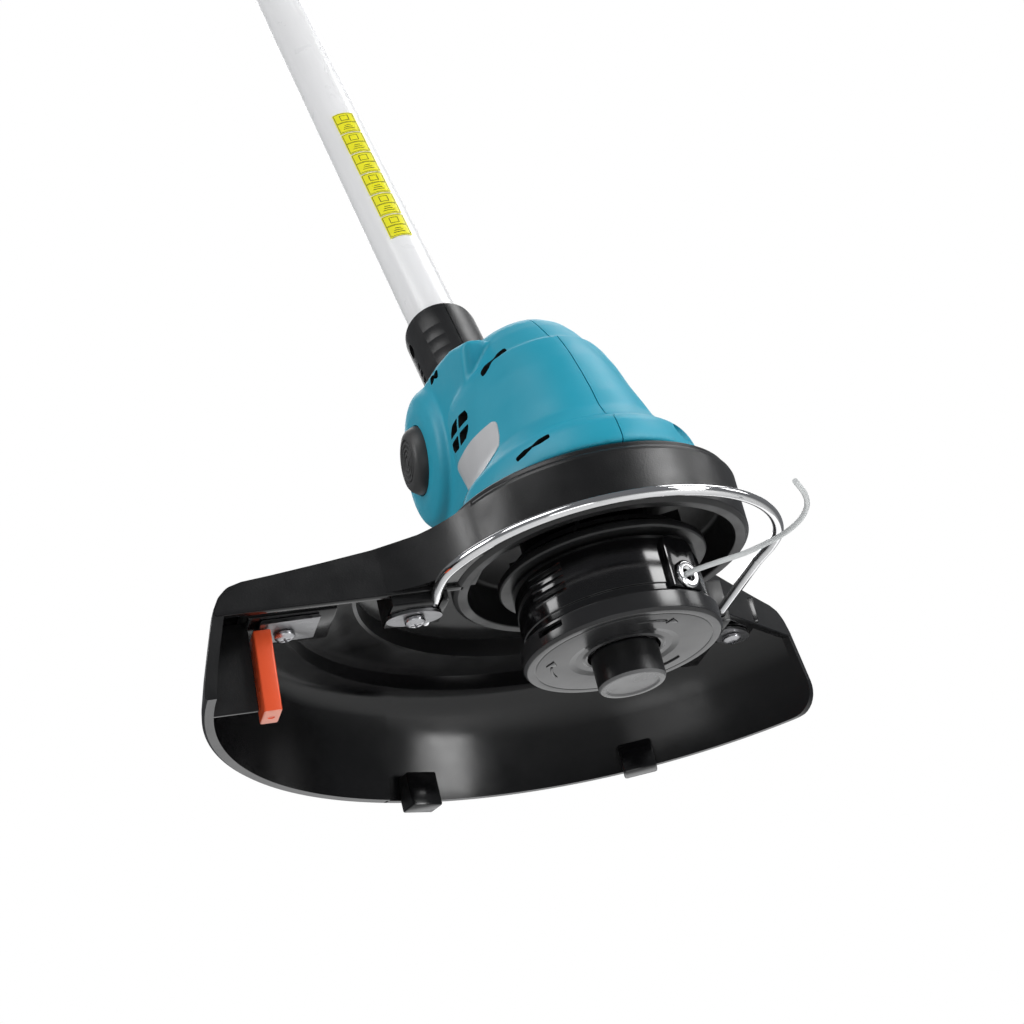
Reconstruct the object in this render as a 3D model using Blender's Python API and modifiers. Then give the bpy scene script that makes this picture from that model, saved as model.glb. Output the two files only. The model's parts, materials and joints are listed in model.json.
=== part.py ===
"""Battery string trimmer with a tilting, turning head and a telescopic shaft.

Axes: the origin is the centre of the bump knob's lower face. +Z is up along the line
head's spin axis, -Y is the way the user walks, and +X is the user's right-hand side.
All driving dimensions are in millimetres, and meshes are made in metres.
"""
from math import atan2, cos, degrees, pi, radians, sin

import bmesh
import bpy
from mathutils import Matrix, Vector

MM = 0.001
GAP = 0.3

# Line head, turned about Z
KNOB_R = 12.6
KNOB_H = 14.0
COVER_Z = 12.8
COVER_R = 37.0
DRUM_R = 34.5
DRUM_TOP = 43.7
PLATE_R = 39.0
PLATE_Z = 44.2
EYELET_ANGLE = -60.0
EYELET_Z = 26.8
LINE_D = 2.0

# Trimmer line, from inside the drum out through the eyelet
LINE_KNOTS = ((16.9, -29.3, 26.8), (19.3, -33.4, 26.9), (28.6, -37.6, 27.6), (38.3, -40.6, 28.5),
              (46.2, -46.0, 29.4), (51.4, -51.5, 30.2), (54.0, -59.4, 30.9), (52.9, -69.2, 31.3),
              (48.8, -78.6, 31.5), (41.3, -89.7, 31.6))

# Guard: a collar round the head and a sector of a turned deck and skirt
COLLAR_R = 55.8
COLLAR_BORE = 50.2
COLLAR_Z = 46.0
COLLAR_TOP = 71.0
RIM_R = 153.0
GUARD_START = 41.0
GUARD_END = 180.0
WALL = 3.0
RIM_Z = 15.6
SHOULDER_R = 38.0
SHOULDER_TOP = 69.9
SHOULDER_SLOPE = 0.19
CORNER_R = 12.0

# Radius and height of the deck's upper face, and radius and lower edge of the ribs below it
DECK_TOP = ((53.0, 70.0), (64.0, 68.8), (73.9, 66.6), (83.7, 64.5), (102.8, 61.8), (121.5, 59.4),
            (132.5, 58.2), (138.0, 56.6), (141.7, 53.2), (144.2, 48.6), (147.5, 37.5), (150.4, 27.5),
            (152.7, 18.5))
RIB_RADII = ((119.0, 50.4), (91.2, 52.5))

# Plant guard wire
WIRE_R = 2.0
WIRE_BEND_R = 66.0
WIRE_LEG_X = 63.0
WIRE_ARC_END = -17.0
WIRE_Z = 44.4
WIRE_LEFT_END = 24.0
WIRE_RIGHT_END = 94.0
LEFT_RETAINER = (-70.3, 11.9)
RIGHT_RETAINER = (77.5, 82.0)
LEFT_PLATE_Z = 40.9
RIGHT_PLATE_Z = 45.2
PLATE_T = 1.3

# Line cutter
CUTTER_X = -125.75
CUTTER_Y = 18.5
CUTTER_TOP = 46.0
CUTTER_INNER = -104.5
CUTTER_SCREW = (-116.4, 20.5)
BLADE = 1.5
BLADE_LEAN = 0.055

# Motor
CAN_R = 24.0
CAN_Z0 = 68.0
CAN_Z1 = 112.0
SHAFT_R = 2.5

# Tilt pivot and shaft line
PIVOT_Y = 80.2
PIVOT_Z = 137.3
SHAFT_ELEVATION = 65.7
ARM_IN = 18.0
CHEEK_OUT = 33.5
CHEEK_R = 30.0
BUTTON_R = 14.0
PIN_R = 4.0
VENT_CENTRE = (22.5, 118.8)
HOUSING_SCREWS = ((-38.0, 79.0), (26.0, 141.0))

# Shaft, measured along the shaft line from the tilt pivot
NECK_R = 15.8
NECK_END = 87.6
TUBE_R = 11.1
TUBE_START = 45.0
TUBE_END = 700.0
SLEEVE_R = 14.2
SLEEVE_BORE = 11.6
SLEEVE_START = 475.0
SLEEVE_END = 905.0
LEVER_PIN = (-22.5, SLEEVE_START + 12.0)
LABEL_START = 144.6
LABEL_LENGTH = 118.0

# Rear handle, battery and front loop
HANDLE_HALF = 21.0
LOOP_Z = 655.0
LOOP_PIVOT_Y = -31.0
LOOP_PIVOT = (LOOP_PIVOT_Y, LOOP_Z)
LOOP_BAR_R = 7.5
LOOP_KNOTS = ((13.3, -45), (13.6, -52), (20, -62), (36, -74), (52, -92), (62, -116), (62, -138),
              (50, -154), (28, -162), (0, -163.5))
BOLT_R = 4.0
BATTERY_START = 1183.0

# Rear handle, as (distance along the shaft line, distance below it)
HANDLE_OUTLINE = ((870, -19), (885, -21), (960, -24), (1010, -22), (1100, -23), (1130, -30),
                  (1150, -39), (1180, -42), (1180, 62), (1150, 66), (1120, 62), (1030, 60),
                  (990, 52), (955, 30), (925, 22), (870, 19))
GRIP_OPENING = ((1004, 14), (1020, 17), (1098, 17), (1114, 24), (1120, 38), (1112, 48), (1035, 46),
                (1006, 36), (998, 24))
HANDLE_POCKET = ((930, -17), (1000, -17), (1060, -17), (1125, -22), (1150, -32), (1173, -36),
                 (1173, 50), (1140, 54), (1130, 48), (1130, 20), (1108, 9), (1010, 9), (985, 16),
                 (930, 14))
HANDLE_SCREWS = ((-12.0, 950.0), (48.0, 1160.0))
TRIGGER_OUTLINE = ((1004, 6), (1016, 5), (1046, 6), (1047, 12), (1046, 20), (1030, 27), (1012, 24),
                   (1004, 16))
LOCK_OFF_OUTLINE = ((1034, -15), (1062, -15), (1062, -22), (1056, -28), (1040, -27), (1034, -22))

# Motor housing shell, and its sections: height, front, back, half width, squareness
SHELL = 2.8
HOUSING_SECTIONS = (
    (71.3, -54.0, 53.0, 45.5, 1.9),
    (82.0, -51.6, 52.0, 44.0, 1.9),
    (85.5, -48.5, 51.0, 41.0, 2.0),
    (88.0, -43.5, 50.5, 38.0, 2.1),
    (94.0, -38.5, 50.5, 35.0, 2.2),
    (102.0, -35.5, 52.0, 34.0, 2.3),
    (112.0, -30.5, 54.0, 33.4, 2.4),
    (123.0, -24.5, 56.0, 33.0, 2.5),
    (135.0, -16.0, 57.0, 32.0, 2.5),
    (146.0, -6.5, 57.5, 29.0, 2.4),
    (153.0, 1.0, 57.0, 25.0, 2.3),
    (157.0, 8.0, 54.0, 19.0, 2.2),
)


def clear_scene():
    for thing in list(bpy.data.objects):
        bpy.data.objects.remove(thing, do_unlink=True)


def new_collection(name):
    group = bpy.data.collections.new(name)
    bpy.context.scene.collection.children.link(group)
    return group


clear_scene()
PARTS = new_collection("string_trimmer")
CUTTERS = new_collection("cutters")


def look(name, colour, roughness, metallic=0.0):
    made = bpy.data.materials.new(name)
    made.use_nodes = True
    shader = made.node_tree.nodes["Principled BSDF"]
    shader.inputs["Base Color"].default_value = (*colour, 1.0)
    shader.inputs["Roughness"].default_value = roughness
    shader.inputs["Metallic"].default_value = metallic
    return made


BLACK = look("black_plastic", (0.02, 0.02, 0.022), 0.45)
GLOSS = look("gloss_black", (0.01, 0.01, 0.011), 0.15)
BLUE = look("blue_plastic", (0.08, 0.44, 0.56), 0.5)
STEEL = look("steel", (0.62, 0.62, 0.63), 0.25, 1.0)
SILVER = look("silver_tube", (0.82, 0.82, 0.83), 0.35, 0.6)
ORANGE = look("orange_plastic", (0.9, 0.18, 0.06), 0.45)
YELLOW = look("yellow_label", (0.95, 0.85, 0.1), 0.5)
GREY = look("grey_plate", (0.45, 0.45, 0.46), 0.4)
RUBBER = look("rubber", (0.03, 0.03, 0.03), 0.8)
COPPER = look("copper", (0.7, 0.33, 0.18), 0.35, 1.0)
NYLON = look("nylon", (0.85, 0.87, 0.86), 0.3)


def frame_at(name, place, turn_x=0.0):
    empty = bpy.data.objects.new(name, None)
    empty.location = Vector(place) * MM
    empty.rotation_euler = (radians(turn_x), 0.0, 0.0)
    PARTS.objects.link(empty)
    return empty


SHAFT_LINE = frame_at("shaft_line", (0, PIVOT_Y, PIVOT_Z), SHAFT_ELEVATION - 90.0)


def add(name, mesh, material, parent=None):
    made = bpy.data.objects.new(name, mesh)
    if material is None:
        CUTTERS.objects.link(made)
        made.hide_render = True
        made.display_type = "WIRE"
    else:
        PARTS.objects.link(made)
        mesh.materials.clear()
        mesh.materials.append(material)
    made.parent = parent
    return made


def turn_to(axis):
    """Rotation that takes +Z to the named axis."""
    if axis == "X":
        return Matrix.Rotation(pi / 2, 4, "Y")
    if axis == "Y":
        return Matrix.Rotation(-pi / 2, 4, "X")
    return Matrix.Identity(4)


def mesh_from(bm, name, round_edges=True):
    bmesh.ops.recalc_face_normals(bm, faces=bm.faces)
    mesh = bpy.data.meshes.new(name)
    bm.to_mesh(mesh)
    bm.free()
    if round_edges:
        mesh.shade_smooth()
        mesh.set_sharp_from_angle(angle=radians(35))
    return mesh


def bevel(part, width, segments=2, angle=40.0):
    step = part.modifiers.new("bevel", "BEVEL")
    step.width = width * MM
    step.segments = segments
    step.limit_method = "ANGLE"
    step.angle_limit = radians(angle)
    return part


def box(name, low, high, material, parent=None, spin=0.0, rounded=0.0):
    """Box between two corners, turned about its parent's Z by spin degrees."""
    bm = bmesh.new()
    bmesh.ops.create_cube(bm, size=1.0)
    low, high = Vector(low) * MM, Vector(high) * MM
    size = high - low
    bmesh.ops.scale(bm, vec=size, verts=bm.verts)
    bmesh.ops.translate(bm, vec=(low + high) / 2, verts=bm.verts)
    bmesh.ops.rotate(bm, cent=(0, 0, 0), matrix=Matrix.Rotation(radians(spin), 3, "Z"), verts=bm.verts)
    part = add(name, mesh_from(bm, name, False), material, parent)
    if rounded:
        bevel(part, rounded)
    return part


def on_axis(axis, along, at):
    """Point given by its distance along an axis and its other two coordinates."""
    return Vector({"X": (along, *at), "Y": (at[0], along, at[1]), "Z": (*at, along)}[axis])


def rod(name, radius, start, end, material, parent=None, axis="Z", at=(0, 0), sides=32):
    """Cylinder along an axis from start to end; at gives the other two coordinates."""
    bm = bmesh.new()
    bmesh.ops.create_cone(bm, cap_ends=True, segments=sides, radius1=radius * MM,
                          radius2=radius * MM, depth=(end - start) * MM)
    bmesh.ops.transform(bm, matrix=turn_to(axis), verts=bm.verts)
    bmesh.ops.translate(bm, vec=on_axis(axis, (start + end) / 2, at) * MM, verts=bm.verts)
    return add(name, mesh_from(bm, name), material, parent)


def turned(name, profile, material, parent=None, steps=48, closed=True, axis="Z", at=(0, 0, 0)):
    """Profile of (radius, height) points turned about an axis; outer side runs top to bottom."""
    points = [Vector((r, 0, z)) * MM for r, z in profile]
    count = len(points)
    edges = [(i, i + 1) for i in range(count - 1)]
    if closed:
        edges.append((count - 1, 0))
    mesh = bpy.data.meshes.new(name)
    mesh.from_pydata(points, edges, [])
    part = add(name, mesh, material, parent)
    part.matrix_local = Matrix.Translation(Vector(at) * MM) @ turn_to(axis)
    screw = part.modifiers.new("turn", "SCREW")
    screw.axis = "Z"
    screw.angle = 2 * pi
    screw.steps = steps
    screw.render_steps = steps
    screw.use_merge_vertices = True
    screw.merge_threshold = 0.00001
    screw.use_smooth_shade = True
    return part


def flat(name, outlines, low, high, material, parent=None, plane="XY", rounded=0.0):
    """Flat outlines, holes included, given a thickness from low to high across their plane."""
    curve = bpy.data.curves.new(name, "CURVE")
    curve.dimensions = "2D"
    curve.fill_mode = "BOTH"
    curve.extrude = (high - low) / 2 * MM
    curve.render_resolution_u = 0
    for outline in outlines:
        spline = curve.splines.new("POLY")
        spline.points.add(len(outline) - 1)
        for point, (u, v) in zip(spline.points, outline):
            point.co = (u * MM, v * MM, 0, 1)
        spline.use_cyclic_u = True
    guide = bpy.data.objects.new(name, curve)
    CUTTERS.objects.link(guide)
    mesh = mesh_of(guide)
    mesh.transform(Matrix.Translation((0, 0, (low + high) / 2 * MM)))
    if plane == "YZ":
        mesh.transform(Matrix(((0, 0, 1, 0), (1, 0, 0, 0), (0, 1, 0, 0), (0, 0, 0, 1))))
    part = add(name, mesh, material, parent)
    if rounded:
        bevel(part, rounded)
    return part


def mesh_of(guide):
    """Closed mesh of a curve object, which is then removed."""
    graph = bpy.context.evaluated_depsgraph_get()
    mesh = bpy.data.meshes.new_from_object(guide.evaluated_get(graph))
    bpy.data.objects.remove(guide, do_unlink=True)
    bm = bmesh.new()
    bm.from_mesh(mesh)
    bmesh.ops.remove_doubles(bm, verts=bm.verts, dist=0.00001)
    bmesh.ops.recalc_face_normals(bm, faces=bm.faces)
    bm.to_mesh(mesh)
    bm.free()
    return mesh


def wire(name, points, radius, material, parent=None, fineness=2):
    curve = bpy.data.curves.new(name, "CURVE")
    curve.dimensions = "3D"
    curve.bevel_depth = radius * MM
    curve.bevel_resolution = fineness
    curve.render_resolution_u = 0
    curve.use_fill_caps = True
    spline = curve.splines.new("POLY")
    spline.points.add(len(points) - 1)
    for point, place in zip(spline.points, points):
        point.co = (*(Vector(place) * MM), 1)
    guide = bpy.data.objects.new(name, curve)
    CUTTERS.objects.link(guide)
    return add(name, mesh_of(guide), material, parent)


def boolean(part, other, operation):
    step = part.modifiers.new(operation.lower(), "BOOLEAN")
    step.operation = operation
    step.solver = "EXACT"
    step.object = other
    return part


def cut(part, other):
    return boolean(part, other, "DIFFERENCE")


def join(part, other):
    return boolean(part, other, "UNION")


def arc(centre, radius, start, end, count):
    """Points on an arc, angles in degrees, both ends included."""
    angles = [radians(start + (end - start) * i / (count - 1)) for i in range(count)]
    return [(centre[0] + radius * cos(a), centre[1] + radius * sin(a)) for a in angles]


def smooth_path(knots, count):
    """Catmull-Rom curve through the knots, sampled evenly in its parameter."""
    knots = [Vector(k) for k in knots]
    knots = [2 * knots[0] - knots[1], *knots, 2 * knots[-1] - knots[-2]]
    spans = len(knots) - 3
    points = []
    for i in range(count):
        place = spans * i / (count - 1)
        span = min(int(place), spans - 1)
        t = place - span
        a, b, c, d = knots[span:span + 4]
        points.append(((2 * b) + (c - a) * t + (2 * a - 5 * b + 4 * c - d) * t * t
                       + (3 * b - a - 3 * c + d) * t * t * t) / 2)
    return points


def coil_points(radius, start, end, turns, per_turn, centre=(0, 0)):
    count = int(turns * per_turn) + 1
    return [(centre[0] + radius * cos(2 * pi * i / per_turn),
             centre[1] + radius * sin(2 * pi * i / per_turn),
             start + (end - start) * i / (count - 1)) for i in range(count)]


def screw(name, top, at, way, axis, parent=None, head=3.2, head_h=2.0, shank=1.5, length=12.0):
    """Screw with its head's top at one place on the axis, its shank against way."""
    profile = ((shank, -length - head_h), (shank, -head_h), (head, -head_h), (head, -0.5),
               (head - 0.5, 0))
    sides = 12
    turn = turn_to(axis) @ Matrix.Diagonal((1, 1, way, 1))
    move = Matrix.Translation(on_axis(axis, top, at))
    rings = []
    for r, h in profile:
        angles = [2 * pi * i / sides for i in range(sides)]
        rings.append([move @ turn @ Vector((r * cos(a), r * sin(a), h)) for a in angles])
    return loft(name, rings, STEEL, parent)


def stitch(bm, loops):
    """Side faces between rings of vertices, and a cap on the first and the last ring."""
    count = len(loops[0])
    for one, two in zip(loops, loops[1:]):
        for i in range(count):
            j = (i + 1) % count
            bm.faces.new((one[i], one[j], two[j], two[i]))
    bm.faces.new(loops[0][::-1])
    bm.faces.new(loops[-1])


def loft(name, rings, material, parent=None):
    bm = bmesh.new()
    stitch(bm, [[bm.verts.new(Vector(p) * MM) for p in ring] for ring in rings])
    return add(name, mesh_from(bm, name), material, parent)


def oval(centre, half_x, half_y, height, squareness=2.0, count=26):
    """Superellipse ring at one height."""
    points = []
    for i in range(count):
        a = 2 * pi * (i + 0.5) / count
        ca, sa = cos(a), sin(a)
        x = centre[0] + half_x * abs(ca) ** (2 / squareness) * (1 if ca > 0 else -1)
        y = centre[1] + half_y * abs(sa) ** (2 / squareness) * (1 if sa > 0 else -1)
        points.append((x, y, height))
    return points


# ---------------------------------------------------------------- line head

def make_bump_knob():
    profile = [(0, 0), (KNOB_R - 0.8, 0), (KNOB_R, 0.8), (KNOB_R, KNOB_H - 1), (KNOB_R - 1, KNOB_H),
               (8.5, KNOB_H), (8.5, 15.9), (0, 15.9)]
    turned("bump_knob", profile[::-1], BLACK, closed=False, steps=28)


def make_spool():
    profile = [(30.5, 18.6), (30.5, 16.4), (5.5, 16.4), (5.5, 20.0), (9.5, 20.0), (9.5, 36.0),
               (30.5, 36.0), (30.5, 34.0), (13.0, 34.0), (13.0, 18.6)]
    turned("line_spool", profile, BLACK, steps=26)


def make_wound_line():
    angles = [-2 * pi * i / 8 for i in range(8)]
    section = [(21.0 + 7.4 * cos(a), 26.3 + 7.2 * sin(a)) for a in angles]
    turned("wound_line", section, NYLON, steps=24)


def make_cover():
    profile = [(COVER_R - 1.2, COVER_Z), (13.6, COVER_Z), (13.6, 15.2), (16.5, 15.2), (34.9, 15.2),
               (34.9, 21.0), (COVER_R, 21.0), (COVER_R, COVER_Z + 1.2)]
    ring = turned("spool_cover", profile, GLOSS, steps=44)
    for side in (0, 180):
        tab = box("cover_window", (30, -6, 17), (40, 6, 19.4), None, spin=EYELET_ANGLE + 90 + side)
        cut(ring, tab)


def make_drum():
    profile = [(DRUM_R, DRUM_TOP), (DRUM_R, 15.6), (32.2, 15.6), (32.2, 40.6), (4.2, 40.6),
               (4.2, DRUM_TOP)]
    drum = turned("spool_housing", profile, GLOSS, steps=44)
    for side in (0, 180):
        angle = EYELET_ANGLE + side
        boss = box("eyelet_boss", (32.6, -9, 21.6), (36.2, 9, DRUM_TOP - 0.6), None, spin=angle)
        join(drum, boss)
        hole = rod("eyelet_hole", 4.3, 26, 40, None, axis="X", at=(0, EYELET_Z), sides=16)
        hole.rotation_euler.z = radians(angle)
        cut(drum, hole)
    fins = bmesh.new()
    for level in range(4):
        low = 30.5 + level * 2.8
        shape = bmesh.ops.create_cube(fins, size=1.0)
        bmesh.ops.scale(fins, vec=Vector((4, 14, 1.4)) * MM, verts=shape["verts"])
        bmesh.ops.translate(fins, vec=Vector((35.2, 0, low)) * MM, verts=shape["verts"])
    turn = Matrix.Rotation(radians(EYELET_ANGLE - 110), 3, "Z")
    bmesh.ops.rotate(fins, cent=(0, 0, 0), matrix=turn, verts=fins.verts)
    grooves = add("drum_grooves", mesh_from(fins, "drum_grooves", False), None)
    cut(drum, grooves)


def make_eyelets():
    for name, side in (("eyelet_front", 0), ("eyelet_rear", 180)):
        profile = [(5.4, 1.3), (5.4, 0.0), (3.9, 0.0), (3.9, -5.0), (2.1, -5.0), (2.1, 0.7), (3.0, 1.3)]
        ring = turned(name, profile, STEEL, steps=14)
        out = Vector((cos(radians(EYELET_ANGLE + side)), sin(radians(EYELET_ANGLE + side)), 0))
        face = 36.2 + GAP
        ring.matrix_local = (Matrix.Translation((out * face + Vector((0, 0, EYELET_Z))) * MM)
                             @ out.to_track_quat("Z", "Y").to_matrix().to_4x4())


def make_trimmer_line():
    wire("trimmer_line", smooth_path(LINE_KNOTS, 22), LINE_D / 2, NYLON)


def make_backplate():
    profile = [(PLATE_R - 0.6, 47.6), (PLATE_R, 47.0), (PLATE_R, PLATE_Z), (2.9, PLATE_Z), (2.9, 49.2),
               (9.0, 49.2), (9.0, 47.6)]
    turned("spool_backplate", profile, BLACK, steps=44)


def make_fan():
    profile = [(8.0, 61.0), (8.0, 52.2), (33.0, 52.2), (33.0, 50.6), (2.9, 50.6), (2.9, 61.0)]
    fan = turned("cooling_fan", profile, BLACK, steps=24)
    blades = bmesh.new()
    count = 8
    for i in range(count):
        shape = bmesh.ops.create_cube(blades, size=1.0)
        bmesh.ops.scale(blades, vec=Vector((25.5, 1.6, 8.0)) * MM, verts=shape["verts"])
        bmesh.ops.translate(blades, vec=Vector((20.0, 0, 55.4)) * MM, verts=shape["verts"])
        bmesh.ops.rotate(blades, cent=(0, 0, 0), verts=shape["verts"],
                         matrix=Matrix.Rotation(2 * pi * (i + 0.37) / count, 3, "Z"))
    vanes = add("fan_vanes", mesh_from(blades, "fan_vanes", False), None)
    join(fan, vanes)


def make_bump_spring():
    wire("bump_spring", coil_points(7.2, 21.2, 39.4, 4, 9), 0.7, STEEL, fineness=0)


def make_motor():
    shaft = rod("motor_shaft", SHAFT_R, 42.0, CAN_Z1 + 3.0, STEEL, sides=20)
    bevel(shaft, 0.4, 1)
    can = [(CAN_R, CAN_Z1 - 2), (CAN_R, CAN_Z0), (CAN_R - 1.6, CAN_Z0), (CAN_R - 1.6, CAN_Z1 - 1.8),
           (7.3, CAN_Z1 - 1.8), (7.3, CAN_Z1), (CAN_R - 2, CAN_Z1)]
    turned("motor_can", can, STEEL, steps=30)
    cap = [(CAN_R - 2, 70.4), (CAN_R - 2, 68.0), (7.3, 68.0), (7.3, 70.4)]
    turned("motor_end_cap", cap, BLACK, steps=24)
    bearing = [(6.9, 0.0), (SHAFT_R + 0.15, 0.0), (SHAFT_R + 0.15, 4.6), (6.9, 4.6)]
    for name, low in (("lower_bearing", 66.3), ("upper_bearing", CAN_Z1 - 4.4)):
        turned(name, [(r, z + low) for r, z in bearing], STEEL, steps=20)
    core = [(16.9, 104.0), (16.9, 76.0), (SHAFT_R + 0.4, 76.0), (SHAFT_R + 0.4, 104.0)]
    rotor = turned("rotor", core, COPPER, steps=24)
    slots = bmesh.new()
    for i in range(5):
        shape = bmesh.ops.create_cube(slots, size=1.0)
        bmesh.ops.scale(slots, vec=Vector((10, 3.2, 40)) * MM, verts=shape["verts"])
        bmesh.ops.translate(slots, vec=Vector((15.5, 0, 92)) * MM, verts=shape["verts"])
        bmesh.ops.rotate(slots, cent=(0, 0, 0), matrix=Matrix.Rotation(2 * pi * (i + 0.3) / 5, 3, "Z"),
                         verts=shape["verts"])
    cut(rotor, add("rotor_slots", mesh_from(slots, "rotor_slots", False), None))
    turned("magnet_ring", [(21.9, 106), (21.9, 75), (17.7, 75), (17.7, 106)], GREY, steps=24)


# ---------------------------------------------------------------- guard

def deck_profile():
    """Outer side inwards out, over the rim, and back under the deck past its two ribs."""
    under = [(RIM_R, RIM_Z + 0.8), (RIM_R - 1.0, RIM_Z), (149.9, RIM_Z), (149.3, 19.0), (147.3, 27.5),
             (144.4, 37.5), (141.2, 47.6), (138.8, 51.0), (135.5, 53.6), (131.5, 55.0)]
    for radius, low in RIB_RADII:
        roof = 56.2 if radius > 100 else 59.6
        under += [(radius + 0.9, roof), (radius + 0.7, low), (radius - 0.7, low),
                  (radius - 0.9, roof + 0.2)]
    under += [(74.0, 63.0), (64.0, 65.4), (53.0, 67.0)]
    return list(DECK_TOP) + under


def wedge(name, start, end, low, high, reach=200.0):
    outline = [(0, 0)] + arc((0, 0), reach, start, end, 9)
    return flat(name, [outline], low, high, None)


def radial_wall(name, angle, inward):
    """Solid end wall: the deck's outer shape above the wall's lower edge, cut to a slab."""
    inside = [(r - 0.4, z - 1.1) for r, z in DECK_TOP[:10]]
    profile = inside + [(144.0, COLLAR_Z), (53.0, COLLAR_Z)]
    wall = turned(name, profile, None, steps=60)
    near, far = sorted((inward, -inward * 0.1))
    slab = box(name + "_slab", (40, near, 40), (200, far, 80), None, spin=angle)
    boolean(wall, slab, "INTERSECT")
    return wall


def shoulder():
    """Sweep from the collar's front into the left end wall, its top falling outwards."""
    outline = ([(-48.0, 2.0), (-48.0, -20.0)] + arc((-85.8, -38.3), SHOULDER_R, 23.9, 90, 9)
               + [(-85.8, 2.0)])
    low = [(x, y, COLLAR_Z + 0.9) for x, y in outline]
    high = [(x, y, SHOULDER_TOP + SHOULDER_SLOPE * (x + 55.0)) for x, y in outline]
    return loft("guard_shoulder", [low, high], None)


def right_corner():
    """Cutter that rounds the lower corner of the guard's right end."""
    r, start = CORNER_R, RIM_Z - 4.0
    outline = [(-2.0, start), (r, start)] + arc((r, RIM_Z + r), r, 270, 180, 9) + [(-2.0, RIM_Z + r)]
    corner = flat("guard_corner", [outline], 125.0, 165.0, None, plane="YZ")
    corner.rotation_euler.z = radians(GUARD_START)
    return corner


def make_guard():
    collar = [(53.6, COLLAR_TOP), (55.0, 69.6), (COLLAR_R, 62.0), (54.8, 47.4), (53.4, COLLAR_Z),
              (COLLAR_BORE, COLLAR_Z), (COLLAR_BORE, 62.4), (9.0, 62.4), (9.0, 65.0), (46.5, 65.0),
              (46.5, COLLAR_TOP)]
    guard = turned("guard", collar, BLACK, steps=48)
    deck = turned("guard_deck", deck_profile(), None, steps=60)
    boolean(deck, wedge("guard_wedge", GUARD_START, GUARD_END, 0, 100), "INTERSECT")
    join(guard, deck)
    join(guard, radial_wall("guard_left_wall", GUARD_END, -WALL))
    join(guard, radial_wall("guard_right_wall", GUARD_START, WALL))
    join(guard, shoulder())
    cut(guard, right_corner())
    for name, low, high, spin in (
            ("left_wire_boss", (-80, 2, 42.4), (-58.6, 22, 62), 0),
            ("right_wire_boss", (59, 52.5, 40.4), (67, 98, 58.3), 0),
            ("right_plate_boss", (68, 74, 46.9), (88, 92, 58.0), 0),
            ("cutter_boss", (-131, 8, 46.9), (-98, 34, 57), 0),
            ("left_rim_hook", (141.5, -7, 10.5), (150.6, 7, 25), 109.3),
            ("right_rim_hook", (141.5, -7, 12.5), (150.6, 7, 25), 71.5)):
        join(guard, box(name, low, high, None, spin=spin))
    for side, end in ((-1, WIRE_LEFT_END), (1, WIRE_RIGHT_END)):
        bore = rod("wire_bore", WIRE_R + 0.4, -14 if side < 0 else 45, end + 2.5, None, axis="Y",
                   at=(side * WIRE_LEG_X, WIRE_Z), sides=20)
        cut(guard, bore)
    for place in (LEFT_RETAINER, RIGHT_RETAINER, CUTTER_SCREW):
        cut(guard, rod("guard_pilot", 1.9, 40, 55, None, at=place, sides=16))


def make_retainers():
    angles = [2 * pi * i / 24 for i in range(24)]
    for name, place, turn, low in (("left_wire_retainer", LEFT_RETAINER, 0.0, LEFT_PLATE_Z),
                                   ("right_wire_retainer", RIGHT_RETAINER, GUARD_START, RIGHT_PLATE_Z)):
        along = Vector((cos(radians(turn)), sin(radians(turn)))) * 10.5
        across = along.orthogonal().normalized() * 6.2
        outline = [Vector(place) + cos(a) * along + sin(a) * across for a in angles]
        hole = arc(place, 2.0, 0, 330, 12)
        flat(name, [outline, hole], low, low + PLATE_T, STEEL)
    head = {"head": 3.9, "head_h": 2.4}
    screw("left_retainer_screw", LEFT_PLATE_Z - 2.7, LEFT_RETAINER, -1, "Z", length=12.5, **head)
    screw("right_retainer_screw", RIGHT_PLATE_Z - 2.7, RIGHT_RETAINER, -1, "Z", length=9.5, **head)
    screw("cutter_screw", CUTTER_TOP - 3.6, CUTTER_SCREW, -1, "Z", length=9.0, **head)


def make_wire_guard():
    edge = WIRE_ARC_END
    front = arc((0, 0), WIRE_BEND_R, 180 - edge, 360 + edge, 13)
    left = [(-WIRE_LEG_X, WIRE_LEFT_END), (-WIRE_LEG_X, 13), (-WIRE_LEG_X - 0.3, 3), (-64.2, -8)]
    right = [(64.2, -8), (WIRE_LEG_X + 0.3, 3), (WIRE_LEG_X, 15), (WIRE_LEG_X, WIRE_RIGHT_END)]
    knots = [(x, y, WIRE_Z) for x, y in left + front + right]
    wire("wire_guard", smooth_path(knots, 56), WIRE_R, STEEL)


def blade_x(z):
    """Middle of the leaning blade at one height."""
    return CUTTER_X - BLADE_LEAN * (CUTTER_TOP - z)


def leaning_box(name, half_x, half_y, low, high, material):
    rings = []
    for z in (low, high):
        x, y = blade_x(z), CUTTER_Y
        rings.append([(x - half_x, y - half_y, z), (x + half_x, y - half_y, z),
                      (x + half_x, y + half_y, z), (x - half_x, y + half_y, z)])
    return loft(name, rings, material)


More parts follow.
